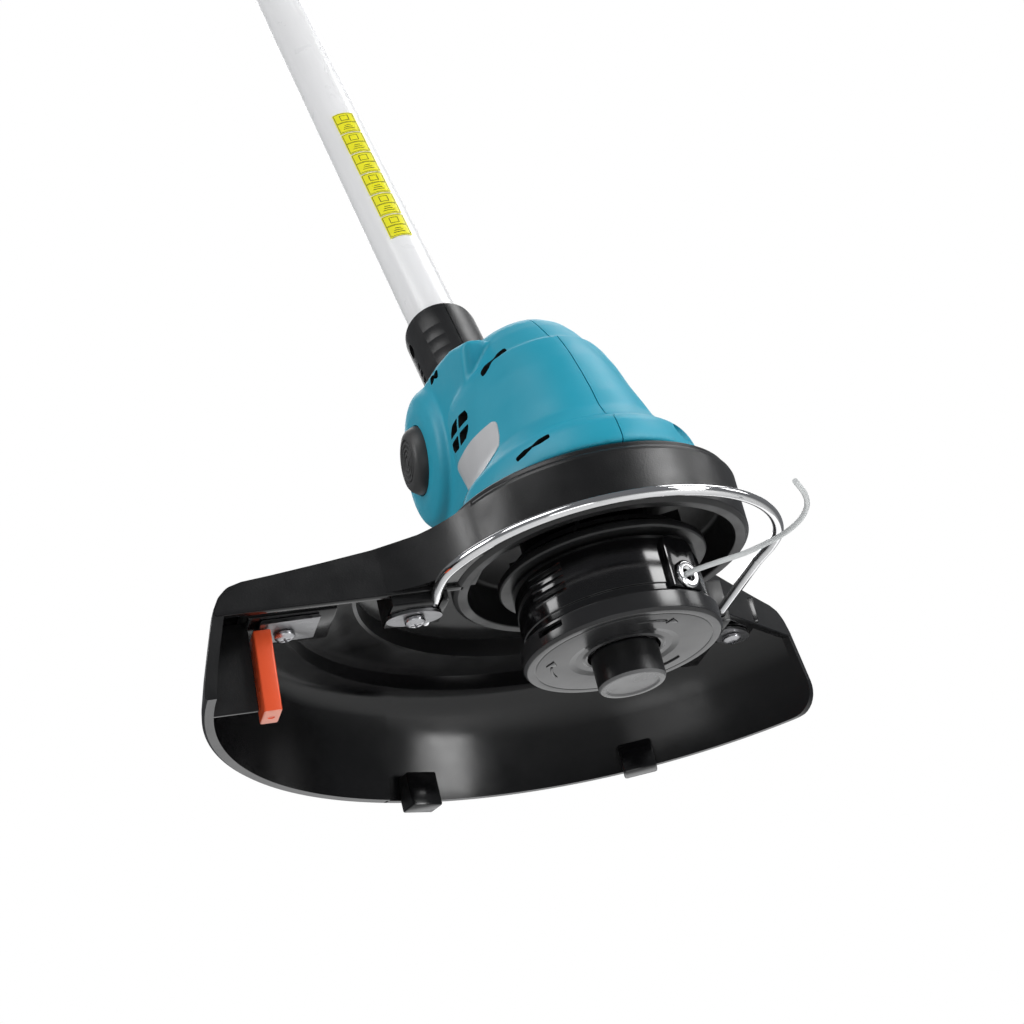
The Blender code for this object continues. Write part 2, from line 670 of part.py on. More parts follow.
def make_cutter():
    half = BLADE / 2
    x, y, top = CUTTER_X, CUTTER_Y, CUTTER_TOP
    outline = [(x - half, top + 0.6), (blade_x(19.0) - half, 19.0), (blade_x(17.5) + half, 17.5),
               (x + half, top - 0.9), (CUTTER_INNER, top - 0.9), (CUTTER_INNER, top + 0.6)]
    plate = flat("line_cutter", [[(px, -pz) for px, pz in outline]], y - 9.0, y + 9.0, STEEL)
    plate.rotation_euler.x = radians(-90)
    for near, far in ((-12, -4.5), (4.5, 12)):
        trim = box("cutter_trim", (x - 9, y + near, 10), (x + 5, y + far, top - 1.2), None)
        cut(plate, trim)
    hole = rod("cutter_hole", 2.0, 40, 50, None, at=CUTTER_SCREW, sides=16)
    cut(plate, hole)
    cover = leaning_box("blade_cover", 3.3, 6.0, 13.2, top - 1.5, ORANGE)
    cut(cover, leaning_box("cover_pocket", 1.15, 4.9, 16.9, top + 2.0, None))


# ---------------------------------------------------------------- motor housing

def housing_rings(inset=0.0, lift=0.0):
    rings = []
    for z, front, back, half, power in HOUSING_SECTIONS:
        centre = (0, (front + back) / 2)
        rings.append(oval(centre, half - inset, (back - front) / 2 - inset, z + lift, power))
    return rings


def arm_outline(radius=28.5):
    """Side view of one fork arm: the body's shoulder and a round end at the pivot."""
    end = arc((PIVOT_Y, PIVOT_Z), radius, -95, 105, 17)
    return [(38, 98)] + end + [(45.0, 160.6), (22.0, 154.0), (4.0, 149.0), (14.0, 130.0)]


def make_housing_half(name, side):
    body = loft(name, housing_rings(), BLUE)
    inner, outer = sorted((side * ARM_IN, side * (CHEEK_OUT - 5.5)))
    join(body, flat(name + "_arm", [arm_outline()], inner, outer, None, plane="YZ"))
    cheek = [(0, 0), (CHEEK_R, 0), (CHEEK_R, 10.0), (CHEEK_R - 1.2, 12.4), (CHEEK_R - 3.4, 13.0),
             (0, 13.0)]
    disc = turned(name + "_cheek", cheek[::-1], None, closed=False, axis="X", steps=30,
                  at=(CHEEK_OUT - 13.0, PIVOT_Y, PIVOT_Z))
    if side < 0:
        disc.matrix_local = (Matrix.Translation(Vector((13.0 - CHEEK_OUT, PIVOT_Y, PIVOT_Z)) * MM)
                             @ Matrix.Rotation(-pi / 2, 4, "Y"))
    join(body, disc)
    cut(body, loft(name + "_cavity", housing_rings(SHELL, -SHELL), None))
    for y, z in HOUSING_SCREWS:
        reach = 22.0 if y < 0 else 28.2
        start, end = sorted((0.0, side * reach))
        join(body, rod(name + "_boss", 4.6, start, end, None, axis="X", at=(y, z), sides=20))
        cut(body, rod(name + "_bore", 1.9, -14, 14, None, axis="X", at=(y, z), sides=16))
        if side > 0:
            cut(body, rod(name + "_counterbore", 3.6, 7.7, 70, None, axis="X", at=(y, z), sides=20))
    start, end = sorted((side * 10.0, side * 40.0))
    cut(body, rod(name + "_pin_bore", PIN_R + 0.35, start, end, None, axis="X",
                  at=(PIVOT_Y, PIVOT_Z), sides=24))
    start, end = sorted((side * 26.0, side * 45.0))
    cut(body, rod(name + "_button_bore", BUTTON_R + 0.5, start, end, None, axis="X",
                  at=(PIVOT_Y, PIVOT_Z), sides=28))
    for vent in vent_outlines():
        start, end = sorted((side * 29.0, side * 48.0))
        cut(body, flat(name + "_vent", [vent], start, end, None, plane="YZ"))
    start, end = sorted((-side * 80, side * 0.15))
    half_space = box(name + "_half", (start, -100, 40), (end, 150, 200), None)
    cut(body, half_space)


def vent_outlines():
    """Four long leaf-shaped quarters of one round-cornered vent."""
    quarter = [(1.2, 1.0), (13.4, 1.0), (12.6, 3.6), (9.6, 5.6), (1.2, 6.2)]
    turn = radians(8)
    outlines = []
    for u, v in ((-1, -1), (-1, 1), (1, -1), (1, 1)):
        outlines.append([(VENT_CENTRE[0] + u * a * cos(turn) - v * b * sin(turn),
                          VENT_CENTRE[1] + u * a * sin(turn) + v * b * cos(turn)) for a, b in quarter])
    return outlines


def make_housing_details():
    for name, at in zip(("front_housing_screw", "rear_housing_screw"), HOUSING_SCREWS):
        screw(name, 10.0, at, 1, "X", length=18.0)
    cap = [(0, 0), (BUTTON_R, 0), (BUTTON_R, 6.2), (BUTTON_R - 1.4, 7.4), (0, 7.4)]
    turned("pivot_cap", cap[::-1], BLACK, closed=False, steps=32, axis="X", at=(26.4, PIVOT_Y, PIVOT_Z))
    button = [(0, 0), (BUTTON_R, 0), (BUTTON_R, 4.8), (BUTTON_R - 0.9, 6.3), (BUTTON_R - 3.2, 7.1),
              (0, 7.3)]
    part = turned("tilt_button", button[::-1], BLACK, closed=False, steps=32)
    part.matrix_local = (Matrix.Translation(Vector((-31.2, PIVOT_Y, PIVOT_Z)) * MM)
                         @ Matrix.Rotation(-pi / 2, 4, "Y"))
    spring = wire("tilt_button_spring", coil_points(8.0, 0, 3.0, 2, 9), 0.6, STEEL, fineness=0)
    spring.matrix_local = (Matrix.Translation(Vector((-26.9, PIVOT_Y, PIVOT_Z)) * MM)
                           @ Matrix.Rotation(-pi / 2, 4, "Y"))
    rod("pivot_pin", PIN_R, -25.6, 25.6, STEEL, axis="X", at=(PIVOT_Y, PIVOT_Z), sides=24)


# ---------------------------------------------------------------- shaft

def make_neck_half(name, side):
    sleeve = [(0, NECK_END), (NECK_R - 1.2, NECK_END), (NECK_R, NECK_END - 1.6), (NECK_R, 8.0),
              (0, 8.0)]
    part = turned(name, sleeve, BLACK, SHAFT_LINE, closed=False, steps=40)
    join(part, rod(name + "_knuckle", 17.0, -16.4, 16.4, None, SHAFT_LINE, axis="X", sides=40))
    cut(part, rod(name + "_throat", TUBE_R + GAP, TUBE_START - GAP, 120, None, SHAFT_LINE, sides=40))
    cut(part, rod(name + "_pin_bore", PIN_R + 0.35, -30, 30, None, SHAFT_LINE, axis="X", sides=24))
    start, end = sorted((-side * 40, side * 0.15))
    cut(part, box(name + "_half", (start, -40, -40), (end, 40, 120), None, SHAFT_LINE))


def tube(name, radius, bore, start, end, material, steps=40):
    profile = [(radius, end), (radius, start), (bore, start), (bore, end)]
    return turned(name, profile, material, SHAFT_LINE, steps=steps)


def make_shaft():
    make_neck_half("neck_left", -1)
    make_neck_half("neck_right", 1)
    tube("lower_tube", TUBE_R, TUBE_R - 1.4, TUBE_START, TUBE_END, SILVER)
    tube("upper_tube", SLEEVE_R, SLEEVE_BORE, SLEEVE_START, SLEEVE_END, SILVER)
    inner, outer = TUBE_R + GAP, TUBE_R + GAP + 0.25
    band = arc((0, 0), outer, -160, -40, 15) + arc((0, 0), inner, -40, -160, 15)
    flat("tube_label", [band], LABEL_START, LABEL_START + LABEL_LENGTH, YELLOW, SHAFT_LINE)
    rod("shaft_cable", 3.2, TUBE_START + 3, TUBE_END - 4, RUBBER, SHAFT_LINE, sides=12)


def make_collar():
    start = SLEEVE_START
    step = start - GAP - 0.2
    profile = [(19.0, start + 48), (20.5, start + 40), (20.5, start - 4), (17.5, start - 14),
               (TUBE_R + 0.4, start - 14), (TUBE_R + 0.4, step), (SLEEVE_R + GAP, step),
               (SLEEVE_R + GAP, start + 48)]
    body = turned("lock_collar", profile, BLACK, SHAFT_LINE, steps=28)
    join(body, box("collar_ears", (-11, -27, start), (11, -16, start + 24), None, SHAFT_LINE))
    cut(body, box("collar_slot", (-6.4, -40, start - 1), (6.4, -16.8, start + 30), None, SHAFT_LINE))
    cut(body, rod("collar_pin_bore", 2.3, -20, 20, None, SHAFT_LINE, axis="X", at=LEVER_PIN, sides=16))
    rod("lever_pin", 2.0, -10.5, 10.5, STEEL, SHAFT_LINE, axis="X", at=LEVER_PIN, sides=16)
    outline = [(-27.0, start + 14.5), (-24.5, start + 17.0), (-20.5, start + 16.5),
               (-18.2, start + 12.0), (-19.5, start + 7.0), (-22.8, start + 3.0),
               (-24.6, start - 20.0), (-27.2, start - 22.0), (-29.0, start - 20.0)]
    lever = flat("lock_lever", [outline], -5.8, 5.8, BLACK, SHAFT_LINE, plane="YZ")
    cut(lever, rod("lever_bore", 2.3, -20, 20, None, SHAFT_LINE, axis="X", at=LEVER_PIN, sides=16))


# ---------------------------------------------------------------- front loop handle

def make_front_handle():
    low, high = LOOP_Z - 17, LOOP_Z + 17
    inside = SLEEVE_R + GAP
    ring = [(21.0, high), (21.0, low), (inside, low), (inside, high)]
    base = turned("handle_clamp", ring, BLACK, SHAFT_LINE, steps=32)
    join(base, box("clamp_block", (-9, LOOP_PIVOT_Y - 8, LOOP_Z - 11), (9, -17.5, LOOP_Z + 11), None,
                   SHAFT_LINE))
    cut(base, rod("clamp_bore", BOLT_R + GAP, -20, 20, None, SHAFT_LINE, axis="X", at=LOOP_PIVOT,
                  sides=20))
    knots = [(x, y, LOOP_Z) for x, y in LOOP_KNOTS]
    knots += [(-x, y, LOOP_Z) for x, y in LOOP_KNOTS[-2::-1]]
    bar = wire("front_handle", smooth_path(knots, 32), LOOP_BAR_R, BLACK, SHAFT_LINE)
    for way in (-1, 1):
        start, end = sorted((way * 9.6, way * 17.0))
        join(bar, rod("loop_ear", 11.0, start, end, None, SHAFT_LINE, axis="X", at=LOOP_PIVOT,
                      sides=24))
        join(bar, box("loop_web", (start, -54, LOOP_Z - 8), (end, -32, LOOP_Z + 8), None, SHAFT_LINE))
        cut(bar, rod("loop_bore", BOLT_R + GAP, start - 3, end + 3, None, SHAFT_LINE, axis="X",
                     at=LOOP_PIVOT, sides=20))
    rod("handle_bolt", BOLT_R, -20.5, 31.0, STEEL, SHAFT_LINE, axis="X", at=LOOP_PIVOT, sides=20)
    make_clamp_knob()


def make_clamp_knob():
    lobes, points = 5, 40
    rings = []
    for x, grow in ((22.5, -1.5), (23.5, 0.0), (35.0, 0.0), (37.0, -2.0)):
        ring = []
        for i in range(points):
            a = 2 * pi * i / points
            r = 15.5 + grow + 1.8 * cos(lobes * a)
            ring.append((x, LOOP_PIVOT_Y + r * cos(a), LOOP_Z + r * sin(a)))
        rings.append(ring)
    star = loft("clamp_knob", rings, BLACK, SHAFT_LINE)
    cut(star, rod("knob_bore", BOLT_R + GAP, 10, 31.4, None, SHAFT_LINE, axis="X", at=LOOP_PIVOT,
                  sides=20))


# ---------------------------------------------------------------- rear handle

def in_yz(points):
    return [(y, z) for z, y in points]


def make_handle_half(name, side):
    half = flat(name, [in_yz(HANDLE_OUTLINE), in_yz(GRIP_OPENING)], -HANDLE_HALF, HANDLE_HALF, BLUE,
                SHAFT_LINE, plane="YZ", rounded=5.0)
    barrel, reach = sorted((-side, side * 14.5))
    cut(half, flat(name + "_pocket", [in_yz(HANDLE_POCKET)], barrel, reach, None, SHAFT_LINE,
                   plane="YZ"))
    cut(half, rod(name + "_socket", SLEEVE_R + GAP, 860, SLEEVE_END + 1, None, SHAFT_LINE, sides=48))
    cut(half, rod(name + "_throat", 9.0, 890, 935, None, SHAFT_LINE, sides=24))
    low, high = sorted((-side, side * 7.0))
    cut(half, box(name + "_trigger_slot", (low, 4, 1002), (high, 20, 1052), None, SHAFT_LINE))
    low, high = sorted((-side, side * 6.0))
    cut(half, box(name + "_lock_slot", (low, -30, 1030), (high, -14, 1066), None, SHAFT_LINE))
    low, high = sorted((-side, side * 10.0))
    cut(half, box(name + "_terminal_slot", (low, -18, 1160), (high, 18, 1190), None, SHAFT_LINE))
    start, end = sorted((0, side * 14.8))
    for at in HANDLE_SCREWS:
        join(half, rod(name + "_post", 4.4, start, end, None, SHAFT_LINE, axis="X", at=at, sides=20))
        cut(half, rod(name + "_bore", 1.9, -13, 13, None, SHAFT_LINE, axis="X", at=at, sides=16))
        if side > 0:
            cut(half, rod(name + "_counterbore", 3.6, 8.0, 40, None, SHAFT_LINE, axis="X", at=at,
                          sides=20))
    start, end = sorted((side * 0.15, -side * 40))
    cut(half, box(name + "_half", (start, -80, 850), (end, 100, 1200), None, SHAFT_LINE))


def make_handle():
    make_handle_half("handle_left", -1)
    make_handle_half("handle_right", 1)
    for name, at in zip(("front_handle_screw", "rear_handle_screw"), HANDLE_SCREWS):
        screw(name, 10.3, at, 1, "X", SHAFT_LINE, length=18.0)
    flat("trigger", [in_yz(TRIGGER_OUTLINE)], -6.2, 6.2, BLACK, SHAFT_LINE, plane="YZ", rounded=1.0)
    flat("lock_off_button", [in_yz(LOCK_OFF_OUTLINE)], -5.2, 5.2, BLACK, SHAFT_LINE, plane="YZ",
         rounded=1.0)
    box("trigger_switch", (-8, -12, 1006), (8, -3, 1030), GREY, SHAFT_LINE, rounded=1.0)
    box("battery_terminals", (-9.4, -16, 1164), (9.4, 16, 1181), BLACK, SHAFT_LINE)
    rails = box("battery_rail", (-31, -38, 1180.4), (31, 58, 1185.6), BLACK, SHAFT_LINE)
    cut(rails, box("rail_window", (-12, -20, 1175), (12, 20, 1190), None, SHAFT_LINE))


def make_battery():
    low, high = BATTERY_START + 3.0, BATTERY_START + 66.0
    case = box("battery_case", (-37, -44, low), (37, 70, high), BLACK, SHAFT_LINE, rounded=5.0)
    hollow = box("battery_hollow", (-34, -41, low + 4), (34, 67, high - 3), None, SHAFT_LINE)
    cut(case, hollow)
    cut(case, box("battery_mouth", (-10, -14, low - 2), (10, 14, low + 6), None, SHAFT_LINE))
    rows = (low + 17.0, low + 37.5)
    cells = box("battery_cells", (-6, -30, rows[0] - 2), (6, 54, rows[1] + 2), GREY, SHAFT_LINE)
    for row, z in enumerate(rows):
        for column in range(5):
            at = (-27.0 + column * 20.2 + 1.5 * row, z)
            join(cells, rod("cell", 9.3, -31.5, 31.5, None, SHAFT_LINE, axis="X", at=at, sides=8))
    notch = box("release_notch", (-13, -50, low + 6), (13, -38, low + 26), None, SHAFT_LINE)
    cut(case, notch)
    box("battery_release", (-12.4, -48, low + 6.6), (12.4, -38.0, low + 25.4), ORANGE, SHAFT_LINE,
        rounded=1.2)


make_bump_knob()
make_spool()
make_wound_line()
make_cover()
make_drum()
make_eyelets()
make_trimmer_line()
make_backplate()
make_fan()
make_bump_spring()
make_motor()
make_guard()
make_retainers()
make_wire_guard()
make_cutter()
make_housing_half("housing_left", -1)
make_housing_half("housing_right", 1)
make_housing_details()
make_shaft()
make_collar()
make_front_handle()
make_handle()
make_battery()
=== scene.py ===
"""Cordless string trimmer, detailed over its CAD frame.

Shapes are made in millimetres in the row frame and turned to metres at the end.
"""
import json
from math import acos, atan2, copysign, cos, pi, radians, sin, sqrt, tan

import bmesh
import bpy
from mathutils import Matrix, Vector
from mathutils.bvhtree import BVHTree

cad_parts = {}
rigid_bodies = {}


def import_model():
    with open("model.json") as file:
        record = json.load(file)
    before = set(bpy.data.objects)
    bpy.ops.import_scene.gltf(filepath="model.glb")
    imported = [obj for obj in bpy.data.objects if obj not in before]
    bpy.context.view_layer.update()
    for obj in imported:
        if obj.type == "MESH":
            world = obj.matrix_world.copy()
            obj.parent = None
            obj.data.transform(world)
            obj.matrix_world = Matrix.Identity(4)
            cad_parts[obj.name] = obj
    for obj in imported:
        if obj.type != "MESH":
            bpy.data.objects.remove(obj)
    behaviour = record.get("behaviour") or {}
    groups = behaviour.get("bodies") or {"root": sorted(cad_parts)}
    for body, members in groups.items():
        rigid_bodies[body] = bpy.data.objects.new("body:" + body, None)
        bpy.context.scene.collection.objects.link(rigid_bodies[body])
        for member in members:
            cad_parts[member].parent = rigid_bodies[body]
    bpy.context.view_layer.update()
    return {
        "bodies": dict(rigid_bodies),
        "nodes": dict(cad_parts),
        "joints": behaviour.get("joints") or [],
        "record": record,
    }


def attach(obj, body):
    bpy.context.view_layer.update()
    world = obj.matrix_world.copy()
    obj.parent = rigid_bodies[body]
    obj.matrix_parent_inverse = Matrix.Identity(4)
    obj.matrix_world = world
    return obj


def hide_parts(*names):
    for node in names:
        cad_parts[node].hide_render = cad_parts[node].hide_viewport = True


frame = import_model()
NODES = frame["nodes"]
SCENE = bpy.context.scene
MM = 0.001

# Line head
KNOB_R = 12.6
COVER_R = 37.0
DRUM_R = 34.5
DRUM_TOP = 43.7
EYELET_ANGLE = -60.0
EYELET_Z = 26.8
LINE_KNOTS = ((16.9, -29.3, 26.8), (19.3, -33.4, 26.9), (28.6, -37.6, 27.6), (38.3, -40.6, 28.5),
              (46.2, -46.0, 29.4), (51.4, -51.5, 30.2), (54.0, -59.4, 30.9), (52.9, -69.2, 31.3),
              (48.8, -78.6, 31.5), (41.3, -89.7, 31.6))

# Guard
RIM_R = 153.0
GUARD_START = 41.0
GUARD_END = 180.0
STEP_ANGLE = 114.3
DECK_TOP = ((53.0, 70.0), (64.0, 68.8), (73.9, 66.6), (83.7, 64.5), (102.8, 61.8), (121.5, 59.4),
            (132.5, 58.2), (138.0, 56.6), (141.7, 53.2), (144.2, 48.6), (147.5, 37.5), (150.4, 27.5),
            (152.7, 18.5))
WIRE_Z = 44.4
LEG_X = 63.0
LEFT_RETAINER = (-70.3, 11.9)
RIGHT_RETAINER = (77.5, 82.0)
CUTTER_SCREW = (-116.4, 20.5)

CUTTER_BLADE = (-125.75, 18.5)
BLADE_TOP = 46.0
BLADE_LEAN = 0.055

# Motor housing
VENT_CENTRE = (24.5, 120.3)
BUTTON_R = 14.0

# Pivot and shaft: places along the shaft are measured from the pivot
PIVOT = Vector((0.0, 80.2, 137.3))
SHAFT_RISE = 65.7
SHAFT = Matrix.Translation(PIVOT) @ Matrix.Rotation(radians(SHAFT_RISE - 90.0), 4, "X")
NECK_R = 15.8
NECK_END = 87.6
LOWER_TUBE_R = 11.1
UPPER_TUBE_R = 14.2
LABEL_START = 144.6
LABEL_SIDES = (-123.5, -71.5)
LOOP_S = 655.0
BATTERY_START = 1186.0
BATTERY_END = 1249.0

ACROSS = Matrix.Rotation(pi / 2, 4, "Y")


# ------------------------------------------------------------------ mesh helpers

def turn_z(angle):
    return Matrix.Rotation(radians(angle), 4, "Z")


def arc(x, y, radius, start, sweep, steps):
    """Points along an arc, its angles in degrees."""
    return [(x + radius * cos(a), y + radius * sin(a))
            for a in (radians(start + sweep * i / steps) for i in range(steps + 1))]


def oval(half_length, half_width, steps):
    return [(half_length * cos(a), half_width * sin(a))
            for a in (2 * pi * i / steps for i in range(steps))]


def spread(points, radii, closed=True, steps=4):
    """Outline with each corner turned into an arc of its own radius."""
    count = len(points)
    points = [Vector(p).to_2d() for p in points]
    if not hasattr(radii, "__len__"):
        radii = [radii] * count
    made = []
    for i, (here, r) in enumerate(zip(points, radii)):
        ends = not closed and i in (0, count - 1)
        if ends or r <= 0:
            made.append(tuple(here))
            continue
        back = (points[i - 1] - here)
        on = (points[(i + 1) % count] - here)
        reach_back, reach_on = back.length, on.length
        back.normalize()
        on.normalize()
        angle = acos(max(-1.0, min(1.0, back.dot(on))))
        if angle > radians(176):
            made.append(tuple(here))
            continue
        take = min(r / tan(angle / 2), reach_back * 0.48, reach_on * 0.48)
        radius = take * tan(angle / 2)
        centre = here + (back + on).normalized() * (radius / sin(angle / 2))
        a0 = here + back * take - centre
        a1 = here + on * take - centre
        start = atan2(a0.y, a0.x)
        swing = (atan2(a1.y, a1.x) - start + pi) % (2 * pi) - pi
        for k in range(steps + 1):
            a = start + swing * k / steps
            made.append((centre.x + radius * cos(a), centre.y + radius * sin(a)))
    return made


def grid_mesh(rings, caps=True, loop=False):
    """Closed mesh through rings of points; a ring of one point is a pole."""
    bm = bmesh.new()
    made = [[bm.verts.new(p) for p in ring] for ring in rings]
    count = max(len(ring) for ring in made)
    pairs = list(zip(made, made[1:]))
    if loop:
        pairs.append((made[-1], made[0]))
    for one, two in pairs:
        for i in range(count):
            j = (i + 1) % count
            corners = [one[i % len(one)], one[j % len(one)], two[j % len(two)], two[i % len(two)]]
            unique = list(dict.fromkeys(corners))
            if len(unique) > 2:
                bm.faces.new(unique)
    if caps and not loop:
        for ring in (made[0], made[-1]):
            if len(ring) > 2:
                bm.faces.new(ring)
    return to_mesh(bm)


def to_mesh(bm, place=None):
    bmesh.ops.recalc_face_normals(bm, faces=bm.faces)
    if bm.calc_volume(signed=True) < 0:
        bmesh.ops.reverse_faces(bm, faces=bm.faces)
    mesh = bpy.data.meshes.new("shape")
    bm.to_mesh(mesh)
    bm.free()
    if place:
        mesh.transform(place)
    return mesh


def ring_at(r, z, steps):
    if r < 1e-6:
        return [(0.0, 0.0, z)]
    return [(r * cos(2 * pi * i / steps), r * sin(2 * pi * i / steps), z) for i in range(steps)]


def turned(profile, steps=96, closed=True, place=None):
    """Profile of (radius, height) turned about Z."""
    mesh = grid_mesh([ring_at(r, z, steps) for r, z in profile], caps=False, loop=closed)
    if place:
        mesh.transform(place)
    return mesh


def prism(outline, low, high, plane="XY", place=None, edge=0.0, steps=2):
    """Outline given a thickness; plane YZ takes (y, z) points and runs along x."""
    bm = bmesh.new()
    rings = [[bm.verts.new((u, v, w)) for u, v in outline] for w in (low, high)]
    count = len(outline)
    for i in range(count):
        j = (i + 1) % count
        bm.faces.new((rings[0][i], rings[0][j], rings[1][j], rings[1][i]))
    caps = [bm.faces.new(rings[0][::-1]), bm.faces.new(rings[1])]
    if edge:
        rims = [e for cap in caps for e in cap.edges]
        bmesh.ops.bevel(bm, geom=rims, offset=edge, segments=steps, profile=0.5, affect="EDGES",
                        clamp_overlap=True)
    if plane == "YZ":
        bm.transform(Matrix(((0, 0, 1, 0), (1, 0, 0, 0), (0, 1, 0, 0), (0, 0, 0, 1))))
    elif plane == "XZ":
        bm.transform(Matrix(((1, 0, 0, 0), (0, 0, 1, 0), (0, 1, 0, 0), (0, 0, 0, 1))))
    return to_mesh(bm, place)


def block(low, high, edge=0.6, steps=2, place=None):
    """Box with rounded edges."""
    bm = bmesh.new()
    bmesh.ops.create_cube(bm, size=1.0)
    low, high = Vector(low), Vector(high)
    bmesh.ops.scale(bm, vec=high - low, verts=bm.verts)
    bmesh.ops.translate(bm, vec=(low + high) / 2, verts=bm.verts)
    if edge:
        bmesh.ops.bevel(bm, geom=bm.edges[:], offset=edge, segments=steps, profile=0.5,
                        affect="EDGES", clamp_overlap=True)
    return to_mesh(bm, place)


def rod(radius, start, end, place=None, steps=48, edge=0.4):
    profile = [(0, start), (radius - edge, start), (radius, start + edge), (radius, end - edge),
               (radius - edge, end), (0, end)]
    return turned(profile, steps, closed=False, place=place)


def curve_points(knots, count):
    """Catmull-Rom curve through the knots."""
    knots = [Vector(k) for k in knots]
    knots = [2 * knots[0] - knots[1], *knots, 2 * knots[-1] - knots[-2]]
    spans = len(knots) - 3
    made = []
    for i in range(count):
        place = spans * i / (count - 1)
        span = min(int(place), spans - 1)
        t = place - span
        a, b, c, d = knots[span:span + 4]
        made.append(((2 * b) + (c - a) * t + (2 * a - 5 * b + 4 * c - d) * t * t
                     + (3 * b - a - 3 * c + d) * t * t * t) / 2)
    return made


def tube(path, radius, sides):
    """Round tube along points, with domed ends."""
    path = [Vector(p) for p in path]
    normal = (path[1] - path[0]).orthogonal().normalized()
    frames = []
    for i, p in enumerate(path):
        way = (path[min(i + 1, len(path) - 1)] - path[max(i - 1, 0)]).normalized()
        normal = (normal - way * normal.dot(way)).normalized()
        frames.append((p, way, normal, way.cross(normal)))

    def ring(p, n, m, r):
        return [p + (n * cos(2 * pi * k / sides) + m * sin(2 * pi * k / sides)) * r
                for k in range(sides)]

    def dome(frame, reach):
        """Rings from the tip to the tube's end; reach is the radius, with its sign the way out."""
        p, way, n, m = frame
        rings = [ring(p + way * reach * sqrt(1 - c * c), n, m, radius * c) for c in (0.45, 0.8)]
        return [[p + way * reach]] + rings

    sides_of = [ring(p, n, m, radius) for p, way, n, m in frames]
    return grid_mesh(dome(frames[0], -radius) + sides_of + dome(frames[-1], radius)[::-1], caps=False)


def merged(meshes):
    bm = bmesh.new()
    for mesh in meshes:
        bm.from_mesh(mesh)
    made = bpy.data.meshes.new("shape")
    bm.to_mesh(made)
    bm.free()
    return made


def baked(mesh, *steps):
    """Mesh after modifiers, each a (type, settings) pair, with their helpers removed."""
    thing = bpy.data.objects.new("work", mesh)
    SCENE.collection.objects.link(thing)
    for kind, settings in steps:
        step = thing.modifiers.new(kind, kind)
        for key, value in settings.items():
            setattr(step, key, value)
    graph = bpy.context.evaluated_depsgraph_get()
    made = bpy.data.meshes.new_from_object(thing.evaluated_get(graph))
    bpy.data.objects.remove(thing, do_unlink=True)
    return made


def boolean(mesh, other, operation="DIFFERENCE"):
    helper = bpy.data.objects.new("helper", other)
    SCENE.collection.objects.link(helper)
    made = baked(mesh, ("BOOLEAN", {"operation": operation, "solver": "EXACT", "object": helper,
                                    "material_mode": "TRANSFER"}))
    bpy.data.objects.remove(helper, do_unlink=True)
    return made


def melted(meshes, voxel, passes):
    """Overlapping bodies flowed into one soft skin."""
    return baked(merged(meshes), ("REMESH", {"mode": "VOXEL", "voxel_size": voxel}),
                 ("SMOOTH", {"factor": 0.5, "iterations": passes}))


def two_tone(mesh, main, other, chosen):
    """Gives the mesh two materials, the other one on the faces that the test picks."""
    mesh.materials.clear()
    mesh.materials.append(main)
    mesh.materials.append(other)
    for face in mesh.polygons:
        face.material_index = 1 if chosen(face) else 0


def piece(name, mesh, material, body, nodes=(), sharp=38.0, place=None):
    """Finished piece: its mesh, turned to metres, rides on a body and may stand for CAD nodes."""
    if place:
        mesh.transform(place)
    mesh.transform(Matrix.Scale(MM, 4))
    mesh.name = name
    thing = bpy.data.objects.new(name, mesh)
    SCENE.collection.objects.link(thing)
    if all(m is None for m in mesh.materials):
        mesh.materials.clear()
        mesh.materials.append(material)
    mesh.shade_smooth()
    mesh.set_sharp_from_angle(angle=radians(sharp))
    if nodes:
        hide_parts(*nodes)
    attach(thing, body)
    return thing


def on_side(x, y, z, way):
    """Frame at a place on the object's side, its Z towards +X or -X."""
    return Matrix.Translation((x, y, z)) @ Matrix.Rotation(way * pi / 2, 4, "Y")


# ------------------------------------------------------------------ materials

class Nodes:
    """Node tree of one material, with short calls for the nodes used here."""

    def __init__(self, name):
        self.material = bpy.data.materials.new(name)
        self.material.use_nodes = True
        self.tree = self.material.node_tree
        self.shader = self.tree.nodes["Principled BSDF"]
        self.coords = self.tree.nodes.new("ShaderNodeTexCoord").outputs["Object"]

    def link(self, source, target):
        self.tree.links.new(source, target)

    def noise(self, scale, detail=2.0, stretch=None):
        node = self.tree.nodes.new("ShaderNodeTexNoise")
        node.inputs["Scale"].default_value = scale
        node.inputs["Detail"].default_value = detail
        coords = self.coords
        if stretch:
            move = self.tree.nodes.new("ShaderNodeMapping")
            move.inputs["Scale"].default_value = stretch
            self.link(coords, move.inputs["Vector"])
            coords = move.outputs["Vector"]
        self.link(coords, node.inputs["Vector"])
        return node.outputs["Fac"]

    def ramp(self, value, low, high, out_low, out_high):
        node = self.tree.nodes.new("ShaderNodeMapRange")
        for key, number in (("From Min", low), ("From Max", high), ("To Min", out_low),
                            ("To Max", out_high)):
            node.inputs[key].default_value = number
        self.link(value, node.inputs["Value"])
        return node.outputs["Result"]

    def colours(self, value, *stops):
        node = self.tree.nodes.new("ShaderNodeValToRGB")
        ramp = node.color_ramp
        while len(ramp.elements) < len(stops):
            ramp.elements.new(0.5)
        for element, (at, colour) in zip(ramp.elements, stops):
            element.position = at
            element.color = (*colour, 1.0)
        self.link(value, node.inputs["Fac"])
        return node.outputs["Color"]

    def bump(self, height, strength, distance, under=None):
        node = self.tree.nodes.new("ShaderNodeBump")
        node.inputs["Strength"].default_value = strength
        node.inputs["Distance"].default_value = distance
        self.link(height, node.inputs["Height"])
        if under:
            self.link(under, node.inputs["Normal"])
        return node.outputs["Normal"]


def shade(colour, factor):
    return tuple(min(1.0, c * factor) for c in colour)


